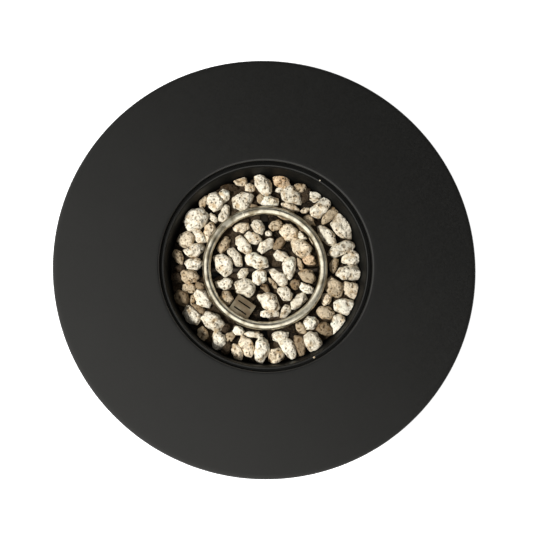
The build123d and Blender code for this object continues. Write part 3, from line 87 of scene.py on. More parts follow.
Socket = bpy.types.NodeSocket
Object = bpy.types.Object
Pair = tuple[float, float]
Triple = tuple[float, float, float]
Arrays = tuple[np.ndarray, np.ndarray]
Surface = tuple[np.ndarray, Sequence[Sequence[int]]]

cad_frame: dict = {}


# What is read from the photograph


@dataclass(frozen=True)
class PhotoReading:
    """What the photograph gives for the camera: the disc's outline and the tilt that its flattening shows."""

    disc_centre_px: Pair = (264.15, 270.0)
    disc_half_width_px: float = 212.1
    disc_diameter_m: float = 1.0
    disc_level_m: float = 0.64
    tilt_deg: float = 8.9
    lean_deg: float = 3.6
    distance_m: float = 3.2

    def metres_per_pixel(self) -> float:
        """Scale at the disc's plane."""
        return self.disc_diameter_m / (2 * self.disc_half_width_px)


class Tone(Enum):
    """Colours that the pumice stones have in the photograph, as linear red, green and blue, and the painted shade of
    the gaps.
    """

    WHITE = (0.93, 0.86, 0.70)
    CREAM = (0.86, 0.74, 0.55)
    ORANGE = (0.80, 0.60, 0.39)
    TAN = (0.58, 0.47, 0.32)
    BROWN = (0.30, 0.225, 0.14)
    DARK = (0.055, 0.04, 0.026)
    # Not a stone's own colour: painted shade for the lower stones that show in the gaps.
    PAINTED_GAP_SHADE = (0.014, 0.011, 0.008)


# Shader wiring


@dataclass(frozen=True)
class Pattern:
    """A fractal noise: its blotches a metre, its octaves and the factors on the three coordinates."""

    per_m: float
    octaves: float
    stretch: Triple = (1, 1, 1)


@dataclass(frozen=True)
class Span:
    """A stretch of a value from low to high, and the start and end that it becomes."""

    low: float
    high: float
    start: float = 0.0
    end: float = 1.0


class Wiring:
    """A short way to lay out a node tree, of a material or of the world."""

    def __init__(self, tree: bpy.types.NodeTree) -> None:
        """Empty the tree."""
        self.tree = tree
        self.tree.nodes.clear()

    def feed(self, socket: Socket, value: object) -> None:
        """Link another socket to an input, or set the input's value.

        Args:
            socket: the input.
            value: a socket, a number, or three numbers, to which a colour's alpha is added.
        """
        if isinstance(value, Socket):
            self.tree.links.new(value, socket)
        else:
            socket.default_value = (*value, 1) if socket.type == "RGBA" else value

    def node(self, kind: str, inputs: dict | None = None, **settings: object) -> bpy.types.Node:
        """Add a node with its settings and its inputs.

        Args:
            kind: the node's type name without ShaderNode.
            inputs: values or sockets by input name or number.
            settings: attributes of the node.

        Returns:
            The new node.
        """
        made = self.tree.nodes.new(f"ShaderNode{kind}")
        for key, value in settings.items():
            setattr(made, key, value)
        for key, value in (inputs or {}).items():
            self.feed(made.inputs[key], value)
        return made

    def math(self, operation: str, *values: Socket | float) -> Socket:
        """The result of a Math node on one or two values."""
        return self.node("Math", dict(enumerate(values)), operation=operation).outputs[0]

    def span(self, value: Socket, span: Span) -> Socket:
        """Map a value as the span says, clamped at both ends."""
        ends = {"From Min": span.low, "From Max": span.high, "To Min": span.start, "To Max": span.end}
        return self.node("MapRange", {"Value": value, **ends}).outputs[0]

    def seen(self) -> Socket:
        """Tell seen rays from those that only carry light.

        Returns:
            1 for a ray from the camera, off gloss or through glass, and 0 for any other.
        """
        path = self.node("LightPath").outputs
        direct = self.math("MAXIMUM", path["Is Camera Ray"], path["Is Glossy Ray"])
        return self.math("MAXIMUM", direct, path["Is Transmission Ray"])


class Coating(Wiring):
    """The node tree of one procedural material, laid out over Object coordinates."""

    def __init__(self, name: str) -> None:
        """Start a material.

        Args:
            name: its name.
        """
        self.material = bpy.data.materials.new(name)
        self.material.use_nodes = True
        super().__init__(self.material.node_tree)
        self.place = self.node("TexCoord").outputs["Object"]

    def noise(self, pattern: Pattern) -> Socket:
        """A pattern's value, 0 to 1."""
        place = self.node("Mapping", {"Vector": self.place, "Scale": pattern.stretch}).outputs[0]
        return self.node("TexNoise", {"Vector": place, "Scale": pattern.per_m, "Detail": pattern.octaves}).outputs[0]

    def cells(self, per_m: float, warp_share: float = 0.7, warp_cells: float = 0.9) -> Socket:
        """Distance to the nearest of a cloud of points, in cell sizes, measured at places that a noise has moved.

        Args:
            per_m: cells a metre.
            warp_share: blotches of the noise that moves the places, for each cell.
            warp_cells: how far it moves them, in cells.

        Returns:
            The distance socket.
        """
        warp = self.node("TexNoise", {"Vector": self.place, "Scale": per_m * warp_share, "Detail": 2.0})
        reach = {0: warp.outputs["Color"], 1: (warp_cells / per_m,) * 3}
        moved = self.node("VectorMath", reach, operation="MULTIPLY").outputs[0]
        bent = self.node("VectorMath", {0: self.place, 1: moved}, operation="ADD").outputs[0]
        return self.node("TexVoronoi", {"Vector": bent, "Scale": per_m}).outputs["Distance"]

    def mix(self, share: Socket, first: Socket | Triple, second: Socket | Triple, blend: str = "MIX") -> Socket:
        """Blend two colours by a share."""
        inputs = {0: share, 6: first, 7: second}
        return self.node("Mix", inputs, data_type="RGBA", blend_type=blend).outputs[2]

    def bump(self, height: Socket, depth: float, under: Socket | None = None) -> Socket:
        """The normal of a relief by its height, 0 to 1, and its depth in metres, on another normal or on none."""
        inputs = {"Height": height, "Distance": depth, "Strength": 1.0}
        return self.node("Bump", inputs if under is None else {**inputs, "Normal": under}).outputs[0]

    def finish(self, **inputs: object) -> bpy.types.Material:
        """Add the shader.

        Args:
            inputs: values or sockets by input name, underscores standing for spaces.

        Returns:
            The finished material.
        """
        surface = self.node("BsdfPrincipled", {key.replace("_", " "): value for key, value in inputs.items()})
        self.node("OutputMaterial", {"Surface": surface.outputs[0]})
        return self.material


# Finishes


@dataclass(frozen=True)
class Finish:
    """A colour that a stain covers in patches, with a fine relief, for the slot that it usually fills.

    The roughness goes from its first to its second value as the patches, or the grain, go through the dulled range.
    """

    name: str
    slot: str
    colour: Triple
    stain: Triple
    roughness: Pair
    patches: Pattern
    stained: Span
    grain: Pattern
    depth: float
    dulled: Pair = (0.3, 0.7)
    dulled_by_grain: bool = False
    metallic: float = 0.0
    specular: float = 0.5

    def colouring(self, w: Coating, patches: Socket) -> Socket:
        """The colour with its stain."""
        return w.mix(w.span(patches, self.stained), self.colour, self.stain)

    @cache
    def build(self) -> bpy.types.Material:
        """Lay out the material, once.

        Returns:
            The material.
        """
        w = Coating(self.name)
        grain, patches = w.noise(self.grain), w.noise(self.patches)
        rough = w.span(grain if self.dulled_by_grain else patches, Span(*self.dulled, *self.roughness))
        return w.finish(
            Base_Color=self.colouring(w, patches), Metallic=self.metallic, Roughness=rough,
            Specular_IOR_Level=self.specular, Normal=w.bump(grain, self.depth),
        )


@dataclass(frozen=True)
class PowderCoat(Finish):
    """Matte black powder coat: speckles of two blacks, a fine grain, and slightly paler dust in blotches."""

    name: str = "powder_coat"
    slot: str = "top_paint"
    colour: Triple = (0.004536, 0.004536, 0.004284)
    stain: Triple = (0.006372, 0.006372, 0.006018)
    roughness: Pair = (0.295, 0.355)
    patches: Pattern = Pattern(620.0 / 2.6, 2.0)
    stained: Span = Span(0.3, 0.7)
    grain: Pattern = Pattern(620.0, 2.0)
    depth: float = 0.00014
    specular: float = 0.42
    dust: Triple = (0.0081, 0.0081, 0.00765)
    blotches: Pattern = Pattern(7.0, 3.0)
    dusted: Span = Span(0.45, 0.75, 0.0, 0.25)

    def colouring(self, w: Coating, patches: Socket) -> Socket:
        """The speckles with dust on them."""
        return w.mix(w.span(w.noise(self.blotches), self.dusted), super().colouring(w, patches), self.dust)


@dataclass(frozen=True)
class HeatPaint(Finish):
    """High-temperature paint inside the pan: dead black with paler soot."""

    name: str = "heat_paint"
    slot: str = "pan_paint"
    colour: Triple = (0.003, 0.003, 0.0027)
    stain: Triple = (0.0055, 0.0055, 0.005)
    roughness: Pair = (0.46, 0.62)
    patches: Pattern = Pattern(16.0, 5.0)
    stained: Span = Span(0.35, 0.7)
    grain: Pattern = Pattern(500.0, 2.0)
    depth: float = 0.0001
    specular: float = 0.1


@dataclass(frozen=True)
class PolishedSteel(Finish):
    """Stainless steel, slightly uneven in its polish, with dark brown clouds in its colour: painted reflection of the
    stones.
    """

    name: str = "polished_steel"
    slot: str = "stainless"
    colour: Triple = (0.67, 0.63, 0.52)
    # Painted reflection: the clouds' dark brown colour stands for the stones and gaps that the tube mirrors.
    stain: Triple = (0.2814, 0.2394, 0.1664)
    roughness: Pair = (0.26, 0.39)
    patches: Pattern = Pattern(46.0, 4.0)
    stained: Span = Span(0.42, 0.64)
    grain: Pattern = Pattern(60.0, 2.0)
    depth: float = 0.0005
    dulled_by_grain: bool = True
    metallic: float = 1.0


@dataclass(frozen=True)
class TintedSheet(Finish):
    """Stainless sheet that heat has tinted from brown over bronze to straw, with fine scratches along it."""

    name: str = "tinted_sheet"
    slot: str = "shield_steel"
    colour: Triple = (0.15, 0.11, 0.068)
    stain: Triple = (0.22, 0.167, 0.106)
    straw: Triple = (0.32, 0.275, 0.195)
    roughness: Pair = (0.36, 0.5)
    patches: Pattern = Pattern(38.0, 3.0)
    stained: Span = Span(0.3, 0.5)
    paled: Span = Span(0.5, 0.7)
    grain: Pattern = Pattern(420.0, 2.0, (1, 7, 1))
    depth: float = 0.00005
    dulled_by_grain: bool = True
    metallic: float = 0.85

    def colouring(self, w: Coating, patches: Socket) -> Socket:
        """Brown to bronze, and that to straw."""
        return w.mix(w.span(patches, self.paled), super().colouring(w, patches), self.straw)


@dataclass(frozen=True)
class Machined(Finish):
    """Turned or plated fittings: a metal with a fine grain and small stains."""

    patches: Pattern = Pattern(55.0, 4.0)
    stained: Span = Span(0.5, 0.8, 0.0, 0.7)
    grain: Pattern = Pattern(700.0, 2.0)
    depth: float = 0.00004
    metallic: float = 1.0


@dataclass(frozen=True)
class Moulded(Finish):
    """Moulded plastic or rubber with a spark-eroded texture, paler where it is handled."""

    patches: Pattern = Pattern(30.0, 3.0)
    stained: Span = Span(0.4, 0.75, 0.0, 0.6)
    grain: Pattern = Pattern(1100.0, 2.0)
    depth: float = 0.00008


@dataclass(frozen=True)
class Enamel(Finish):
    """Gloss enamel on the gas cylinder and glaze on the electrode: slight orange peel and scuffs."""

    patches: Pattern = Pattern(22.0, 6.0)
    stained: Span = Span(0.6, 0.75, 0.0, 0.6)
    grain: Pattern = Pattern(180.0, 1.0)
    depth: float = 0.00006
    dulled: Pair = (0.4, 0.75)


@dataclass(frozen=True)
class PumiceSkin:
    """Pumice: each stone's own tone, brown patches, painted shade in creases and pores of two sizes, a crumbly relief.

    A crease lies where its noise is near its middle. Pores show only in the pored patches.
    """

    name: str = "pumice_skin"
    slot: str = "pumice"
    patches: Pattern = Pattern(62.0, 4.0)
    crumb: Pattern = Pattern(260.0, 4.0)
    creases: Pattern = Pattern(120.0, 3.0)
    crease_middle: float = 0.5
    small_pores_per_m: float = 400.0
    large_pores_per_m: float = 122.0
    brown: Triple = (0.62, 0.5, 0.36)
    browned: Span = Span(0.5, 0.68, 0.0, 0.9)
    speckle: Triple = (0.5, 0.4, 0.3)
    speckled: Span = Span(0.52, 0.74, 0.0, 0.6)
    # Painted shade in the creases: the colour that a crease darkens to.
    crease: Triple = (0.16, 0.11, 0.065)
    creased: Span = Span(0.0, 0.024, 0.45, 0.0)
    pored: Span = Span(0.44, 0.6)
    # Painted shade in the small pores: the colour that they darken to where the patches are pored.
    small_pore_shade: Triple = (0.13, 0.085, 0.05)
    small_dark: Span = Span(0.06, 0.26, 0.35, 0.0)
    small_dent: Span = Span(0.0, 0.4)
    # Painted shade in the large pores: the colour that they darken to where the patches are pored.
    large_pore_shade: Triple = (0.04, 0.025, 0.015)
    large_dark: Span = Span(0.17, 0.33, 0.97, 0.0)
    large_dent: Span = Span(0.0, 0.36)
    depths: Triple = (0.0016, 0.0014, 0.0028)
    roughness: float = 0.95
    specular: float = 0.15

    @cache
    def build(self) -> bpy.types.Material:
        """Lay out the material, once.

        Returns:
            The material.
        """
        w = Coating(self.name)
        # The attribute's colour is each stone's tone times the shade painted on it.
        tone = w.node("Attribute", attribute_name=TONE_WITH_PAINTED_SHADE).outputs["Color"]
        patch, crumb = w.noise(self.patches), w.noise(self.crumb)
        large, small = w.cells(self.large_pores_per_m), w.cells(self.small_pores_per_m)
        colour = w.mix(w.span(patch, self.browned), tone, self.brown, "MULTIPLY")
        colour = w.mix(w.span(crumb, self.speckled), colour, self.speckle, "MULTIPLY")
        crease = w.math("ABSOLUTE", w.math("SUBTRACT", w.noise(self.creases), self.crease_middle))
        # Painted shade darkens the creases here, and the pores below.
        colour = w.mix(w.span(crease, self.creased), colour, self.crease)
        pored = w.span(patch, self.pored)
        colour = w.mix(w.math("MULTIPLY", w.span(small, self.small_dark), pored), colour, self.small_pore_shade)
        colour = w.mix(w.math("MULTIPLY", w.span(large, self.large_dark), pored), colour, self.large_pore_shade)
        crumb_depth, small_depth, large_depth = self.depths
        relief = w.bump(crumb, crumb_depth)
        relief = w.bump(w.span(small, self.small_dent), small_depth, relief)
        relief = w.bump(w.span(large, self.large_dent), large_depth, relief)
        return w.finish(
            Base_Color=colour, Roughness=self.roughness, Normal=relief, Specular_IOR_Level=self.specular
        )


POWDER = PowderCoat()
HEAT = HeatPaint()
STEEL = PolishedSteel()
SHEET = TintedSheet()
PUMICE = PumiceSkin()
ZINC = Machined("zinc_plate", "zinc", (0.52, 0.53, 0.54), (0.36, 0.35, 0.32), (0.28, 0.44))
BRASS = Machined("machined_brass", "brass", (0.66, 0.45, 0.17), (0.34, 0.22, 0.09), (0.22, 0.38))
ALLOY = Machined("cast_alloy", "cast_alloy", (0.5, 0.5, 0.5), (0.33, 0.33, 0.33), (0.36, 0.52))
SOOTED = Machined("sooted_steel", "stainless", (0.075, 0.062, 0.05), (0.022, 0.018, 0.015), (0.44, 0.6))
COPPER = Machined("copper_lead", "copper_lead", (0.68, 0.33, 0.19), (0.3, 0.14, 0.08), (0.29, 0.45))
BLACK_PLASTIC = Moulded("black_plastic", "knob_plastic", (0.018, 0.018, 0.018), (0.0283, 0.0283, 0.0283), (0.36, 0.5))
NYLON = Moulded("nylon_pad", "foot_plastic", (0.024, 0.024, 0.025), (0.0364, 0.0364, 0.03775), (0.54, 0.68))
RUBBER = Moulded(
    "hose_rubber", "hose_rubber", (0.016, 0.016, 0.016), (0.0256, 0.0256, 0.0256), (0.49, 0.63), depth=0.0001
)
SLEEVE = Moulded("lead_sleeve", "lead_cover", (0.42, 0.05, 0.03), (0.571, 0.0715, 0.0445), (0.42, 0.56))
ENAMEL = Enamel("cylinder_enamel", "cylinder_paint", (0.6, 0.61, 0.6), (0.33, 0.31, 0.28), (0.25, 0.45))
GLAZE = Enamel("white_glaze", "ceramic", (0.78, 0.76, 0.7), (0.5, 0.42, 0.3), (0.18, 0.38))


# Meshes


def place_piece(
    name: str,
    surface: Surface,
    finish: Finish | PumiceSkin,
    nodes: Sequence[str] = (),
    body: str = "table",
    slot: str = "",
    sharp_deg: float = SHARP_FROM_DEG,
) -> Object:
    """Make a closed mesh piece that rides on a body.

    Args:
        name: the piece's name.
        surface: its points in metres, one row each, and the point numbers of its faces.
        finish: its finish.
        nodes: the nodes that it stands for.
        body: the body it rides on.
        slot: the record's material slot, if not the finish's usual one; it is worked out but not used.
        sharp_deg: the angle between faces from which their edge stays sharp.

    Returns:
        The new object.
    """
    points, faces = surface
    slot = slot or finish.slot
    mesh = bpy.data.meshes.new(name)
    mesh.from_pydata(np.asarray(points, float).tolist(), [], [list(map(int, face)) for face in faces])
    soften(mesh, sharp_deg)
    made = bpy.data.objects.new(name, mesh)
    bpy.context.scene.collection.objects.link(made)
    made.data.materials.append(finish.build())
    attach(made, body)
    if nodes:
        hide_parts(*nodes)
    log.info("%s: %d faces", name, len(mesh.polygons))
    return made


def soften(mesh: bpy.types.Mesh, sharp_deg: float) -> None:
    """Merge doubles, turn the faces outwards and shade smooth between sharp edges.

    Args:
        mesh: the mesh to change.
        sharp_deg: the angle between faces from which their edge stays sharp.
    """
    work = bmesh.new()
    work.from_mesh(mesh)
    bmesh.ops.remove_doubles(work, verts=work.verts, dist=MERGE_M)
    bmesh.ops.recalc_face_normals(work, faces=work.faces)
    limit = math.radians(sharp_deg)
    for edge in work.edges:
        edge.smooth = len(edge.link_faces) == 2 and edge.calc_face_angle(0.0) < limit
    for face in work.faces:
        face.smooth = True
    work.to_mesh(mesh)
    work.free()


def grid_faces(rows: int, columns: int, closed_rows: bool, closed_columns: bool) -> np.ndarray:
    """Quads of a rows by columns grid, wrapped round where it is closed.

    Args:
        rows: number of points one way.
        columns: number of points the other way.
        closed_rows: the last row joins the first.
        closed_columns: the last column joins the first.

    Returns:
        Four vertex numbers a face.
    """
    row = np.arange(rows if closed_rows else rows - 1)[:, None]
    column = np.arange(columns if closed_columns else columns - 1)[None, :]
    next_row, next_column = (row + 1) % rows, (column + 1) % columns
    corners = ((row, column), (row, next_column), (next_row, next_column), (next_row, column))
    return np.stack([a * columns + b for a, b in corners], -1).reshape(-1, 4)


def revolve(profile: np.ndarray, steps: int) -> Surface:
    """Turn a closed profile about the upright axis.

    The point at profile (r, z) and turn t lies at (r cos t, r sin t, z).

    Args:
        profile: closed loop of (radius, height) rows in metres.
        steps: how many turns the circle is divided into.

    Returns:
        Points and faces.
    """
    turn = np.linspace(0, 2 * np.pi, steps, endpoint=False)[:, None]
    radius, height = profile[:, 0][None, :], profile[:, 1][None, :]
    points = np.stack([radius * np.cos(turn), radius * np.sin(turn), height + 0 * turn], -1)
    return points.reshape(-1, 3), grid_faces(steps, len(profile), True, True)


def arc(centre: Pair, radius: float, start_deg: float, end_deg: float, count: int) -> np.ndarray:
    """Points (radius, height) at a centre plus a radius times (cos, sin) of angles from the outward direction."""
    angle = np.radians(np.linspace(start_deg, end_deg, count))
    return np.stack([centre[0] + radius * np.cos(angle), centre[1] + radius * np.sin(angle)], -1)


def hoop(radius: float, level: float, half: float, around: int, about: int) -> Surface:
    """A tube bent into a ring: its section, R + r cos v outwards and r sin v up, in mm, turned about the axis."""
    return revolve(arc((radius, level), half, 0, 360, about + 1)[:-1] * MM, around)


def welded(node: str) -> Arrays:
    """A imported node's points with doubles merged, and its triangles.

    Args:
        node: the node's name. Its object stays as it is.

    Returns:
        Points in metres and three vertex numbers a face.
    """
    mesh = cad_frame["nodes"][node].data
    mesh.calc_loop_triangles()
    raw = np.empty(len(mesh.vertices) * 3)
    mesh.vertices.foreach_get("co", raw)
    corners = np.empty(len(mesh.loop_triangles) * 3, np.int64)
    mesh.loop_triangles.foreach_get("vertices", corners)
    keys = np.round(raw.reshape(-1, 3) / WELD_M).astype(np.int64)
    _, first, inverse = np.unique(keys, axis=0, return_index=True, return_inverse=True)
    triangles = inverse.reshape(-1)[corners].reshape(-1, 3)
    whole = (triangles != np.roll(triangles, 1, axis=1)).all(axis=1)
    return raw.reshape(-1, 3)[first], triangles[whole]


def solids(points: np.ndarray, triangles: np.ndarray) -> np.ndarray:
    """Number the separate solids of a mesh: each point takes the lowest number that its triangles reach.

    Args:
        points: the mesh's points.
        triangles: its triangles.

    Returns:
        The solid's label for each point.
    """
    label = np.arange(len(points))
    while True:
        lowest = label[triangles].min(axis=1)
        spread = label.copy()
        np.minimum.at(spread, triangles.reshape(-1), np.repeat(lowest, 3))
        if (spread == label).all():
            return label
        label = spread


@dataclass(frozen=True)
class Skin:
    """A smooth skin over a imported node: its doubles merged, round faces smoothed and edges eased to a width in mm."""

    node: str
    finish: Finish
    edge: float = 0.0
    body: str = "table"
    slot: str = ""

    def build(self) -> None:
        """Make the skin."""
        surface = welded(self.node)
        skin = place_piece(f"{self.node}_skin", surface, self.finish, (self.node,), self.body, self.slot)
        if self.edge:
            bevel = skin.modifiers.new("eased", "BEVEL")
            bevel.width = self.edge * MM
            bevel.segments = EASED_STEPS
            bevel.limit_method = "ANGLE"
            bevel.angle_limit = math.radians(EASED_FROM_DEG)
            bevel.harden_normals = True


# Noise for stone surfaces


def smooth_step(share: np.ndarray) -> np.ndarray:
    """Ease a share from 0 to 1: three times its square less twice its cube."""
    return share * share * (3 - 2 * share)


def lattice_noise(points: np.ndarray, cell: float, seed: int) -> np.ndarray:
    """Smooth noise, -1 to 1: hashed values at the corners of a cubic lattice, eased between them.

    Args:
        points: places in metres.
        cell: the lattice's pitch in metres.
        seed: picks the pattern.

    Returns:
        One value a point.
    """
    scaled = points / cell + SEED_SHIFT * seed
    base = np.floor(scaled).astype(np.int64)
    share = smooth_step(scaled - base)
    total = np.zeros(len(points))
    for corner in np.ndindex(2, 2, 2):
        mixed = np.bitwise_xor.reduce((base + np.array(corner)) * HASH_PRIMES, axis=1) ^ (seed * HASH_SEED)
        mixed = (mixed ^ (mixed >> 13)) * HASH_MIX
        value = ((mixed ^ (mixed >> 16)) & HASH_TOP) / (HASH_TOP / 2) - 1
        total += value * np.prod(np.where(np.array(corner), share, 1 - share), axis=1)
    return total


def ball_directions(divisions: int) -> Arrays:
    """Unit directions on a cube's six gridded faces, pushed out to a ball, with the edges merged.

    Args:
        divisions: squares along a cube edge.

    Returns:
        Directions and four-cornered faces.
    """
    step = np.tan(np.linspace(-np.pi / 4, np.pi / 4, divisions + 1))
    a, b = np.meshgrid(step, step, indexing="ij")
    one = np.ones_like(a)
    sides = [(one, a, b), (-one, b, a), (b, one, a), (a, -one, b), (a, b, one), (b, a, -one)]
    points = np.concatenate([np.stack(side, -1).reshape(-1, 3) for side in sides])
    quads = grid_faces(divisions + 1, divisions + 1, False, False)
    faces = np.concatenate([quads + number * (divisions + 1) ** 2 for number in range(6)])
    points /= np.linalg.norm(points, axis=1)[:, None]
    _, first, inverse = np.unique(np.round(points, 6), axis=0, return_index=True, return_inverse=True)
    return points[first], inverse.reshape(-1)[faces]


# Sub-assemblies


@dataclass
class Assembly:
    """A sub-assembly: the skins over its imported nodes, and whatever else its own kind makes."""

    skins: tuple[Skin, ...] = ()

    def build(self) -> None:
        """Put the skins on."""
        for skin in self.skins:
            skin.build()


@dataclass
class TableTop(Assembly):
    """The pressed steel disc with its rolled lip and folded skirt, and the seal under the dish's flange.

    Sizes in mm. The land is the lip's rounded foot. A pair of points is for the sheet's outside and inside. The seal
    is its inner and outer radius, foot and crown.
    """

    diameter: float = 1000.0
    height: float = 640.0
    sheet: float = 2.5
    skirt: float = 45.0
    hem: float = 18.0
    edge_radius: float = 4.0
    fold_radius: float = 3.0
    opening: float = 504.0
    roll_radius: float = 5.0
    roll_turn_deg: float = 80.0
    lip_foot: float = 626.6
    land_radius: float = 1.2
    flat_margin: float = 8.0
    flat_points: int = 9
    roll_points: tuple[int, int] = (14, 12)
    edge_points: tuple[int, int] = (8, 6)
    fold_points: int = 6
    land_points: int = 4
    around: int = 256
    sharp_deg: float = 40.0
    seal: tuple[float, float, float, float] = (246.2, 253.0, 624.2, 625.8)
    seal_around: int = 192
    skins: tuple[Skin, ...] = (
        Skin("top_braces", POWDER, 0.4),
        Skin("brace_bolts", ZINC, 0.3),
        Skin("pan_tabs", HEAT, 0.4, slot="top_paint"),
    )

    def profile(self) -> np.ndarray:
        """The sheet's section: top face, rounded edge, skirt and hem, back under the face to the rolled lip.

        Returns:
            Closed loop of (radius, height) rows in metres.
        """
        outer, inner = self.diameter / 2, self.opening / 2
        roll_width = self.roll_radius * math.sin(math.radians(self.roll_turn_deg))
        foot = self.height - self.skirt
        roll = (inner + roll_width, self.height - self.roll_radius)
        corner = (outer - self.edge_radius, self.height - self.edge_radius)
        fold = (outer - self.fold_radius, foot + self.fold_radius)
        land = (inner + self.land_radius, self.lip_foot + self.land_radius)
        under_turn = math.degrees(math.acos((roll_width - self.sheet) / (self.roll_radius - self.sheet)))
        flat = np.linspace(roll[0] + self.flat_margin, corner[0] - self.flat_margin, self.flat_points)
        loop = np.concatenate(
            [
                arc(roll, self.roll_radius, 90 + self.roll_turn_deg, 90, self.roll_points[0]),
                np.stack([flat, np.full(self.flat_points, self.height)], -1),
                arc(corner, self.edge_radius, 90, 0, self.edge_points[0]),
                arc(fold, self.fold_radius, 0, -90, self.fold_points),
                [(outer - self.hem, foot), (outer - self.hem, foot + self.sheet)],
                [(outer - self.sheet, foot + self.sheet)],
                arc(corner, self.edge_radius - self.sheet, 0, 90, self.edge_points[1]),
                arc(roll, self.roll_radius - self.sheet, 90, 180 - under_turn, self.roll_points[1]),
                [(inner + self.sheet, self.lip_foot)],
                arc(land, self.land_radius, 180, 270, self.land_points)[::-1],
            ]
        )
        return loop * MM

    def build(self) -> None:
        """Make the disc and the seal, and dress the braces, bolts and tabs."""
        disc = revolve(self.profile(), self.around)
        nodes = ("table_top", "top_skirt")
        place_piece("table_disc", disc, POWDER, nodes, sharp_deg=self.sharp_deg)
        inner, outer, foot, crown = self.seal
        section = np.array([(inner, foot), (outer, foot), (outer, crown), (inner, crown)]) * MM
        place_piece("pan_seal", revolve(section, self.seal_around), HEAT, slot="top_paint")
        super().build()


@dataclass
class BurnerPan(Assembly):
    """The pressed dish with a round bead on its flange, given by its ring's radius, its level and its own radius."""

    bead: Triple = (243.6, 627.0, 2.4)
    bead_around: int = 192
    bead_about: int = 16
    skins: tuple[Skin, ...] = (Skin("burner_pan", HEAT, 0.5),)

    def build(self) -> None:
        """Dress the dish and lay the bead on its flange."""
        super().build()
        bead = hoop(*self.bead, self.bead_around, self.bead_about)
        place_piece("pan_bead", bead, POWDER, slot="pan_paint")


@dataclass
class Burner(Assembly):
    """The ring of polished tube with its weld, feed, stands, nuts and igniter group. Sizes in mm."""

    ring: float = 280.0
    tube: float = 20.0
    level: float = 595.0
    around: int = 240
    about: int = 48
    weld_turn_deg: float = 112.0
    weld_width: float = 4.0
    weld_height: float = 0.55
    weld_fullness: float = 0.7
    weld_ripple: float = 0.12
    weld_ripples: int = 9
    weld_sunk: float = 0.1
    weld_grid: tuple[int, int] = (7, 60)
    skins: tuple[Skin, ...] = (
        Skin("feed_pipe", SOOTED),
        Skin("inlet_nipple", SOOTED),
        Skin("burner_stands", SOOTED, 0.3),
        Skin("flame_sensor", SOOTED),
        Skin("inlet_nuts", SOOTED, 0.3, slot="zinc"),
        Skin("electrode_plate", SOOTED, 0.2, slot="zinc"),
        Skin("igniter_electrode", GLAZE),
        Skin("igniter_shield", SHEET, 0.3),
    )

    def weld_seam(self) -> Surface:
        """The ring's butt weld: a narrow raised band round the tube.

        Its radius is the tube's, plus a power of the cosine across the band, plus a sine ripple round the tube that
        fades towards the band's edges, less what sinks the edges in.

        Returns:
            Points and faces.
        """
        rows, columns = self.weld_grid
        along = np.linspace(-1, 1, rows)[:, None]
        round_tube = np.linspace(0, 2 * np.pi, columns, endpoint=False)[None, :]
        bead = self.weld_height * np.cos(along * np.pi / 2) ** self.weld_fullness
        ripple = self.weld_ripple * np.sin(self.weld_ripples * round_tube) * (1 - along**2)
        radius = self.tube / 2 + (bead + ripple - self.weld_sunk)
        turn = math.radians(self.weld_turn_deg) + along * self.weld_width / self.ring
        out = self.ring / 2 + radius * np.cos(round_tube)
        points = np.stack([out * np.cos(turn), out * np.sin(turn), self.level + radius * np.sin(round_tube)], -1)
        faces = grid_faces(rows, columns, False, True).tolist()
        faces += [list(range(columns)), list(range((rows - 1) * columns, rows * columns))]
        return points.reshape(-1, 3) * MM, faces

    def build(self) -> None:
        """Make the ring and its weld, and dress what feeds and lights it."""
        ring = hoop(self.ring / 2, self.level, self.tube / 2, self.around, self.about)
        place_piece("polished_ring", ring, STEEL, ("burner_ring",))
        place_piece("ring_weld", self.weld_seam(), STEEL)
        super().build()


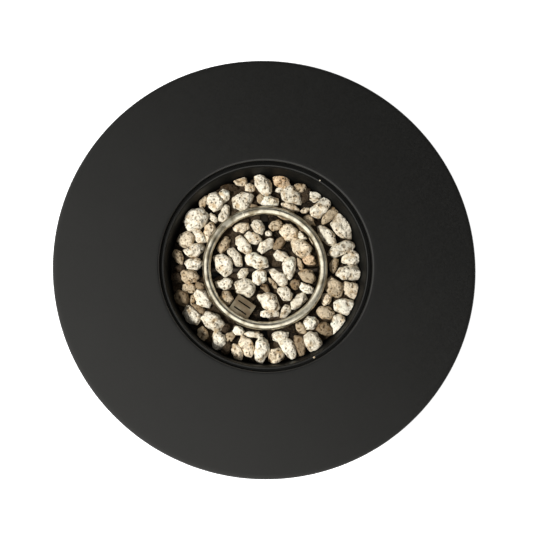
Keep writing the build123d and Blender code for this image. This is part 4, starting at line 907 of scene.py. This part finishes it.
@dataclass
class PumiceBed(Assembly):
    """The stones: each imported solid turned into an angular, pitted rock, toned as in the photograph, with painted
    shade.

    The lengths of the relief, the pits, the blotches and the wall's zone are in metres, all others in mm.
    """

    # Grid squares along a rock's six sides, and rocks to a piece
    divisions: int = 23
    ring_divisions: int = 10
    lower_divisions: int = 7
    crumb_divisions: int = 8
    solids_a_piece: int = 24
    # Outline: how hard the corners are, how it outgrows the solid, and the tilted planes on its crown
    corner_power: float = 17.0
    swell: float = 1.03
    growth: float = 1.18
    wall_growth: float = 1.5
    right_growth: float = 1.1
    wall_zone: float = 0.18
    facets: int = 9
    facet_rise_deg: Pair = (30, 80)
    facet_share: Pair = (0.8, 1.0)
    # Surface: cell and depth of each relief, the width from which it is full, and the pits
    relief: tuple[Pair, ...] = ((0.018, 0.0034), (0.0085, 0.0015), (0.0042, 0.0006))
    full_relief: float = 0.022
    pit_cell: float = 0.0058
    pit_level: float = 0.38
    pit_depth: float = 0.0066
    # Shade painted on the stones: at the foot, the share of the height over which it rises, and in pits; then tone that
    # differs in blotches and from stone to stone
    painted_foot_shade: float = 0.22
    painted_shade_rise_share: float = 0.55
    painted_pit_shade: float = 0.75
    pit_slope: float = 2.2
    blotch_cell: float = 0.012
    blotch_shade: float = 0.1
    stone_shade: float = 0.09
    stone_turn: float = 2.7
    darkest: float = 0.02
    # Each channel takes its own power of the shade, so the painted shade turns warmer as it deepens.
    darkening: Triple = (1.0, 1.1, 1.25)
    # Crumbs on the flange: turn in degrees, radius and size
    crumbs: tuple[Triple, ...] = ((58.0, 244.5, 3.8), (297.6, 244.5, 5.4))
    crumb_flatness: Triple = (1.0, 0.8, 0.7)
    crumb_roughness: float = 0.3
    crumb_cell: float = 0.6
    crumb_lift: float = 0.75
    flange_level: float = 628.0
    flange_gap: float = 0.05
    # What holds the rocks in: the wall's foot and mouth as radius and height; the tube's circle, level and radius
    wall_foot: Pair = (223.0, 560.0)
    wall_mouth: Pair = (239.0, 626.0)
    ring: Triple = (140.0, 595.0, 10.4)
    # Tones of the stones that aren't white, and how far a stone's middle may be from a place named here
    reading_reach: float = 9.0
    tones: tuple[tuple[Tone, tuple[tuple[int, int], ...]], ...] = (
        # (-203, 0) and (-208, -24) are stones by the left wall in the lip's shadow: their dark tone is painted shadow.
        (Tone.DARK, ((-85, 197), (-203, 0), (98, 178), (-208, -24), (-89, -190), (-93, -143))),
        (Tone.BROWN, (
            (142, -141), (34, 62), (3, -49), (-157, -98), (83, -178), (74, -36), (-197, -72), (-27, 153), (-155, -42),
        )),
        (Tone.TAN, (
            (-147, 164), (-11, 173), (85, 199), (157, 131), (167, 10), (-177, -48), (-171, -75), (-147, -157),
            (-82, -163), (87, -143), (86, 12), (20, -34), (28, 107), (-97, 60), (-205, 27), (-180, -20),
            (168, -44), (146, -105), (104, -16), (108, 121), (-87, -66),
        )),
        (Tone.ORANGE, ((114, 19), (42, 213))),
        (Tone.CREAM, (
            (-57, 100), (149, -72), (60, 90), (-58, 213), (-35, 197), (-134, 88), (-187, 70),
            (62, 152), (99, 144), (-147, 12), (203, -48), (-65, -200), (-42, -185), (28, -205), (90, 50),
        )),
    )

    def tone_at(self, centre: np.ndarray) -> Tone:
        """The tone read nearest to a place, if it is within reach; otherwise white.

        Args:
            centre: a stone's middle in metres.

        Returns:
            Its tone.
        """
        nearest, found = self.reading_reach, Tone.WHITE
        for tone, places in self.tones:
            gap = np.hypot(*(np.array(places, float) - centre[:2] / MM).T).min()
            if gap < nearest:
                nearest, found = gap, tone
        return found

    def stretch(self, middle: np.ndarray, normal: np.ndarray) -> np.ndarray:
        """How far to move a rock's planes out: sideways a little, and more towards a near wall, most on the right.

        Args:
            middle: the rock's middle.
            normal: its planes' outward normals.

        Returns:
            A factor on each plane's distance.
        """
        sideways = 1 + (self.growth - 1) * (1 - np.abs(normal[:, 2]))
        radius = np.hypot(middle[0], middle[1])
        if radius < self.wall_zone:
            return sideways
        to_wall = np.maximum(0, normal[:, :2] @ middle[:2] / radius)
        growth = self.wall_growth + self.right_growth * max(0.0, middle[0]) / radius
        return sideways + (growth - 1) * to_wall**2

    def planes(
        self, points: np.ndarray, triangles: np.ndarray, seed: int
    ) -> tuple[np.ndarray, np.ndarray, np.ndarray]:
        """The planes that bound a rock: its solid's own faces, and a few tilted ones that break its crown.

        Args:
            points: the solid's points.
            triangles: its triangles.
            seed: picks the tilted planes.

        Returns:
            The solid's middle, the planes' outward normals and their distances from the middle.
        """
        middle = (points.min(0) + points.max(0)) / 2
        corner = points[triangles] - middle
        normal = np.cross(corner[:, 1] - corner[:, 0], corner[:, 2] - corner[:, 0])
        normal /= np.linalg.norm(normal, axis=1)[:, None]
        away = (normal * corner[:, 0]).sum(1)
        normal = np.where(away[:, None] < 0, -normal, normal)
        _, kept = np.unique(np.round(normal, 3), axis=0, return_index=True)
        normal, away = normal[kept], np.abs(away[kept])
        away *= self.stretch(middle, normal)
        chance = np.random.default_rng(seed)
        turn = chance.uniform(0, 2 * np.pi, self.facets)
        rise = np.sin(np.radians(chance.uniform(*self.facet_rise_deg, self.facets)))
        flat = np.sqrt(1 - rise**2)
        tilted = np.stack([flat * np.cos(turn), flat * np.sin(turn), rise], -1)
        support = ((points - middle) @ tilted.T).max(0)
        tilted_away = support * chance.uniform(*self.facet_share, self.facets) * self.stretch(middle, tilted)
        return middle, np.concatenate([normal, tilted]), np.concatenate([away, tilted_away])

    def rock(self, points: np.ndarray, triangles: np.ndarray, ball: np.ndarray, seed: int) -> Arrays:
        """Turn one solid into a rock.

        A direction d reaches 1 / (sum of max(0, n.d / h)^p)^(1/p), where each n is a plane's normal and h its
        distance: a polyhedron with soft corners. Three lattice noises roughen it along d, and a fourth pits it where
        it is above a level. Shade is painted on towards the foot and in the pits, and a fifth noise varies the tone.

        Args:
            points: the solid's points.
            triangles: its triangles.
            ball: unit directions.
            seed: picks its planes and noise.

        Returns:
            The rock's points and shades, painted shade times a blotchy tone, one for each direction.
        """
        middle, normal, away = self.planes(points, triangles, seed)
        extent = points.max(0) - points.min(0)
        direction = ball * extent
        direction /= np.linalg.norm(direction, axis=1)[:, None]
        power = self.corner_power
        reach = (np.maximum(0, direction @ normal.T / away) ** power).sum(1) ** (-1 / power)
        shape = middle + self.swell * reach[:, None] * direction
        steps = enumerate(self.relief)
        rough = sum(depth * lattice_noise(shape, cell, seed + step) for step, (cell, depth) in steps)
        pit = np.maximum(0, lattice_noise(shape, self.pit_cell, seed + PIT_SEED) - self.pit_level)
        size = min(1.0, extent[:2].min() / self.full_relief)
        shape = self.held_in(shape + size * (rough - self.pit_depth * pit)[:, None] * direction)
        # Painted shade: darker towards the stone's foot and in its pits.
        rise = np.clip((shape[:, 2] - points[:, 2].min()) / (self.painted_shade_rise_share * extent[2]), 0, 1)
        shade = self.painted_foot_shade + (1 - self.painted_foot_shade) * smooth_step(rise)
        shade = shade * (1 - self.painted_pit_shade * np.minimum(1, self.pit_slope * pit))
        # Tone that differs at random in blotches.
        blotch = lattice_noise(shape, self.blotch_cell, seed + BLOTCH_SEED)
        return shape, shade * (1 + self.blotch_shade * blotch)

    def held_in(self, shape: np.ndarray) -> np.ndarray:
        """Move points that stand in the pan's wall inwards to it, and points in the ring's tube out of it.

        The wall's radius runs straight from its foot to its mouth. A point in the tube goes straight away from the
        tube's middle circle.

        Args:
            shape: a rock's points.

        Returns:
            The points, moved where needed.
        """
        (foot_radius, foot), (mouth_radius, mouth) = self.wall_foot, self.wall_mouth
        radius, height = np.hypot(shape[:, 0], shape[:, 1]) / MM, shape[:, 2] / MM
        wall = np.interp(height, (foot, mouth), (foot_radius, mouth_radius))
        inside = np.minimum(radius, wall)
        ring_radius, ring_level, tube = self.ring
        out, up = inside - ring_radius, height - ring_level
        gap = np.maximum(np.hypot(out, up), TINY)
        push = np.maximum(1, tube / gap)
        inside, height = ring_radius + out * push, ring_level + up * push
        share = inside / np.maximum(radius, TINY)
        return np.stack([shape[:, 0] * share, shape[:, 1] * share, height * MM], -1)

    def layer(self, name: str, node: str, divisions: int, tones: Sequence[Tone] = ()) -> None:
        """Turn one node's solids into rocks, a couple of dozen to a piece.

        Args:
            name: the pieces' name, which a number follows.
            node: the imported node.
            divisions: grid squares along each of a rock's six sides.
            tones: tones to take in turn, or none to read each stone's.
        """
        points, triangles = welded(node)
        label = solids(points, triangles)
        ball, faces = ball_directions(divisions)
        rocks = []
        for number, which in enumerate(np.unique(label)):
            own = label == which
            renumber = np.cumsum(own) - 1
            own_triangles = renumber[triangles[own[triangles].all(axis=1)]]
            shape, shade = self.rock(points[own], own_triangles, ball, ROCK_SEED + number)
            chosen = tones[number % len(tones)] if tones else self.tone_at(points[own].mean(0))
            shift = 1 + self.stone_shade * math.sin(self.stone_turn * number)
            rocks.append((shape, self.tinted(chosen, shift * shade)))
        for number, start in enumerate(range(0, len(rocks), self.solids_a_piece), 1):
            self.piece(f"{name}_{number}", rocks[start:start + self.solids_a_piece], faces, (node,))

    def tinted(self, tone: Tone, shade: np.ndarray) -> np.ndarray:
        """A tone under a painted shade as red, green, blue and alpha: each channel times its own power of the shade."""
        warmed = np.maximum(shade, self.darkest)[:, None] ** np.array(self.darkening)
        return np.concatenate([np.minimum(1, warmed * np.array(tone.value)), np.ones((len(shade), 1))], axis=1)

    def piece(self, name: str, rocks: Sequence[Arrays], faces: np.ndarray, nodes: Sequence[str] = ()) -> None:
        """Make one piece of several rocks that share a grid.

        Args:
            name: the piece's name.
            rocks: each rock's points and their colours, painted shade included.
            faces: one rock's faces.
            nodes: the nodes it stands for.
        """
        shapes, tints = zip(*rocks)
        all_faces = np.concatenate([faces + number * len(shapes[0]) for number in range(len(shapes))])
        surface = (np.concatenate(shapes), all_faces)
        made = place_piece(name, surface, PUMICE, nodes, sharp_deg=NEVER_SHARP_DEG)
        shades = made.data.color_attributes.new(TONE_WITH_PAINTED_SHADE, "FLOAT_COLOR", "POINT")
        shades.data.foreach_set("color", np.concatenate(tints).astype(np.float32).reshape(-1))

    def scatter(self) -> None:
        """Lay the few crumbs that lie on the pan's flange: small noisy balls, flattened where they stand."""
        ball, faces = ball_directions(self.crumb_divisions)
        rocks = []
        for number, (turn, radius, size) in enumerate(self.crumbs):
            angle = math.radians(turn)
            half = size / 2 * MM
            place = np.array([radius * math.cos(angle), radius * math.sin(angle), self.flange_level]) * MM
            spread = half * (1 + self.crumb_roughness * lattice_noise(ball, self.crumb_cell, CRUMB_SEED + number))
            shape = place + [0, 0, self.crumb_lift * half] + spread[:, None] * ball * self.crumb_flatness
            shape[:, 2] = np.maximum(shape[:, 2], place[2] + self.flange_gap * MM)
            rocks.append((shape, self.tinted(Tone.WHITE, np.ones(len(shape)))))
        self.piece("flange_crumbs", rocks, faces)

    def build(self) -> None:
        """Make the four layers of stones and the crumbs."""
        self.layer("outer_stones", "outer_pumice", self.divisions)
        self.layer("inner_stones", "inner_pumice", self.divisions)
        self.layer("ring_stones", "ring_pumice", self.ring_divisions, (Tone.DARK, Tone.BROWN, Tone.TAN))
        # The lower stones take the two darkest tones: painted shade in the gaps between the stones above.
        self.layer("lower_stones", "lower_pumice", self.lower_divisions, (Tone.PAINTED_GAP_SHADE, Tone.DARK))
        self.scatter()


@dataclass
class DrumBase(Assembly):
    """The drum with its base plate, feet, door, hinges and catch."""

    skins: tuple[Skin, ...] = (
        Skin("drum_shell", POWDER),
        Skin("base_plate", POWDER),
        Skin("foot_nuts", ZINC, 0.3),
        *(Skin(f"levelling_foot_{n}", NYLON, body=f"foot_{n}") for n in range(1, 5)),
        Skin("service_door", POWDER, 0.5, "door"),
        Skin("hinge_doors", POWDER, 0.3, "door"),
        Skin("hinge_frames", POWDER, 0.3),
        Skin("hinge_pins", ZINC),
        Skin("door_handle", STEEL, body="door"),
        Skin("door_catch", BLACK_PLASTIC, 0.4),
        Skin("catch_strike", ZINC, 0.2, "door"),
    )


@dataclass
class ControlConsole(Assembly):
    """The console with the gas valve, its knob and the igniter."""

    skins: tuple[Skin, ...] = (
        Skin("control_console", POWDER, 0.6),
        Skin("gas_valve", ALLOY, 0.4),
        Skin("valve_nut", ZINC, 0.3),
        Skin("knob_bezel", STEEL, 0.3),
        Skin("thrust_collar", BRASS, body="valve_slider"),
        Skin("valve_stem", BRASS, body="knob"),
        Skin("control_knob", BLACK_PLASTIC, 0.5, "knob"),
        Skin("igniter_module", BLACK_PLASTIC, 0.4),
        Skin("igniter_nut", BLACK_PLASTIC, 0.3),
        Skin("igniter_button", SLEEVE, body="button", slot="knob_plastic"),
    )


@dataclass
class GasSupply(Assembly):
    """The cylinder, its valve and regulator, the hose, the mixer and the leads."""

    skins: tuple[Skin, ...] = (
        Skin("gas_cylinder", ENAMEL),
        Skin("cylinder_foot_ring", ENAMEL),
        Skin("cylinder_guard", ENAMEL, 0.6),
        Skin("locating_ring", POWDER, 0.4),
        Skin("cylinder_valve", BRASS, 0.4),
        Skin("valve_handwheel", BLACK_PLASTIC, 0.8, "handwheel"),
        Skin("coupling_nut", BLACK_PLASTIC, 0.6),
        Skin("regulator", ALLOY, 0.5),
        Skin("gas_hose", RUBBER),
        Skin("supply_line", STEEL),
        Skin("air_mixer", BRASS, 0.3),
        Skin("air_shutter", ALLOY, 0.3, "shutter"),
        Skin("gas_jet", BRASS, 0.3),
        Skin("jet_elbow", BRASS),
        Skin("ignition_lead", SLEEVE),
        Skin("sensor_lead", COPPER),
    )


# Studio


@dataclass(frozen=True)
class Lamp:
    """A soft box: where it stands, how large and strong it is, and what it is aimed at. Gloss doesn't show it."""

    name: str
    place: Triple
    size: float
    watts: float
    aim: Triple = (0.0, 0.0, 0.6)

    def build(self) -> None:
        """Hang the lamp and aim it."""
        light = bpy.data.lights.new(self.name, "AREA")
        light.shape = "SQUARE"
        light.size = self.size
        light.energy = self.watts
        made = bpy.data.objects.new(self.name, light)
        made.location = self.place
        made.rotation_euler = (Vector(self.aim) - Vector(self.place)).to_track_quat("-Z", "Y").to_euler()
        made.visible_glossy = False
        bpy.context.scene.collection.objects.link(made)


@dataclass
class Studio:
    """White floor and backdrop, two soft boxes and the camera.

    The backdrop's strength is the larger of two spans, over the z and over the x + y of a ray's direction.
    """

    reading: PhotoReading = PhotoReading()
    lamps: tuple[Lamp, ...] = (
        Lamp("key_box", (-1.85, -0.75, 2.8), 0.5, 120.0),
        Lamp("fill_box", (2.2, 1.2, 2.6), 2.0, 6.0),
    )
    floor_size: float = 30.0
    floor_colour: Triple = (0.82, 0.82, 0.82)
    floor_glow: float = 0.9
    white: Triple = (1.0, 1.0, 1.0)
    soft_strength: float = 0.18
    backdrop_tint: Triple = (1.0, 0.985, 0.93)
    upwards: Span = Span(0.4, 0.66, 1.15, 0.03)
    to_the_back_right: Span = Span(-0.06, 0.23, 1.78, 0.03)
    sensor_mm: float = 36.0

    def camera(self) -> None:
        """Stand the camera as for the photograph: above, leaning to the front and a little to the left.

        The near part of a tilted disc looks larger than the far part, so its outline's middle lies nearer than the
        middle of the disc by the radius squared, times the tilt's sine, over the distance.
        """
        read = self.reading
        per_px = read.metres_per_pixel()
        tilt, lean = math.radians(read.tilt_deg), math.radians(read.lean_deg)
        middle = IMAGE_WIDTH_PX / 2
        near_gain = (read.disc_diameter_m / 2) ** 2 / read.distance_m
        right = ((middle - read.disc_centre_px[0]) * per_px - near_gain * math.sin(lean)) / math.cos(lean)
        up = ((read.disc_centre_px[1] - middle) * per_px - near_gain * math.sin(tilt)) / math.cos(tilt)
        target = Vector((right, up, read.disc_level_m))
        back = Vector((-math.tan(lean), -math.tan(tilt), 1.0)).normalized()
        across = Vector((0.0, 1.0, 0.0)).cross(back).normalized()
        lens = bpy.data.cameras.new("camera")
        lens.sensor_width = self.sensor_mm
        lens.lens = self.sensor_mm * read.distance_m / (IMAGE_WIDTH_PX * per_px)
        made = bpy.data.objects.new("camera", lens)
        made.location = target + back * read.distance_m
        made.rotation_euler = Matrix((across, back.cross(across), back)).transposed().to_euler()
        bpy.context.scene.collection.objects.link(made)
        bpy.context.scene.camera = made

    def floor(self) -> None:
        """Lay a white floor that keeps the object's shadow, and glows where it is seen."""
        half = self.floor_size / 2
        corners = [(-half, -half, 0), (half, -half, 0), (half, half, 0), (-half, half, 0)]
        mesh = bpy.data.meshes.new("studio_floor")
        mesh.from_pydata(corners, [], [(0, 1, 2, 3)])
        made = bpy.data.objects.new("studio_floor", mesh)
        bpy.context.scene.collection.objects.link(made)
        w = Coating("studio_floor")
        glow = w.math("MULTIPLY", w.seen(), self.floor_glow)
        mesh.materials.append(w.finish(
            Base_Color=self.floor_colour, Roughness=1.0, Specular_IOR_Level=0.0, Emission_Color=self.white,
            Emission_Strength=glow,
        ))

    def world(self) -> None:
        """Hang a backdrop for what the camera and gloss see, and an even soft light for all else."""
        world = bpy.data.worlds.new("studio")
        bpy.context.scene.world = world
        world.use_nodes = True
        w = Wiring(world.node_tree)
        towards = w.node("SeparateXYZ", {0: w.node("TexCoord").outputs["Generated"]}).outputs
        upper = w.span(towards["Z"], self.upwards)
        across = w.span(w.math("ADD", towards["X"], towards["Y"]), self.to_the_back_right)
        strength = w.math("MAXIMUM", upper, across)
        soft = w.node("Background", {"Color": self.white, "Strength": self.soft_strength}).outputs[0]
        backdrop = w.node("Background", {"Color": self.backdrop_tint, "Strength": strength}).outputs[0]
        light = w.node("MixShader", {0: w.seen(), 1: soft, 2: backdrop}).outputs[0]
        w.node("OutputWorld", {"Surface": light})

    def build(self) -> None:
        """Set up the whole studio."""
        self.camera()
        self.floor()
        self.world()
        for lamp in self.lamps:
            lamp.build()
        bpy.context.scene.view_settings.view_transform = "Standard"


def main() -> None:
    """Load the frame, build the studio and every sub-assembly, and log each one as it is dressed."""
    logging.basicConfig(level=logging.INFO, format="%(name)s: %(message)s")
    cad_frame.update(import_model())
    Studio().build()
    for assembly in (TableTop(), BurnerPan(), Burner(), PumiceBed(), DrumBase(), ControlConsole(), GasSupply()):
        assembly.build()
        log.info("%s is dressed", type(assembly).__name__)


if __name__ == "__main__":
    main()
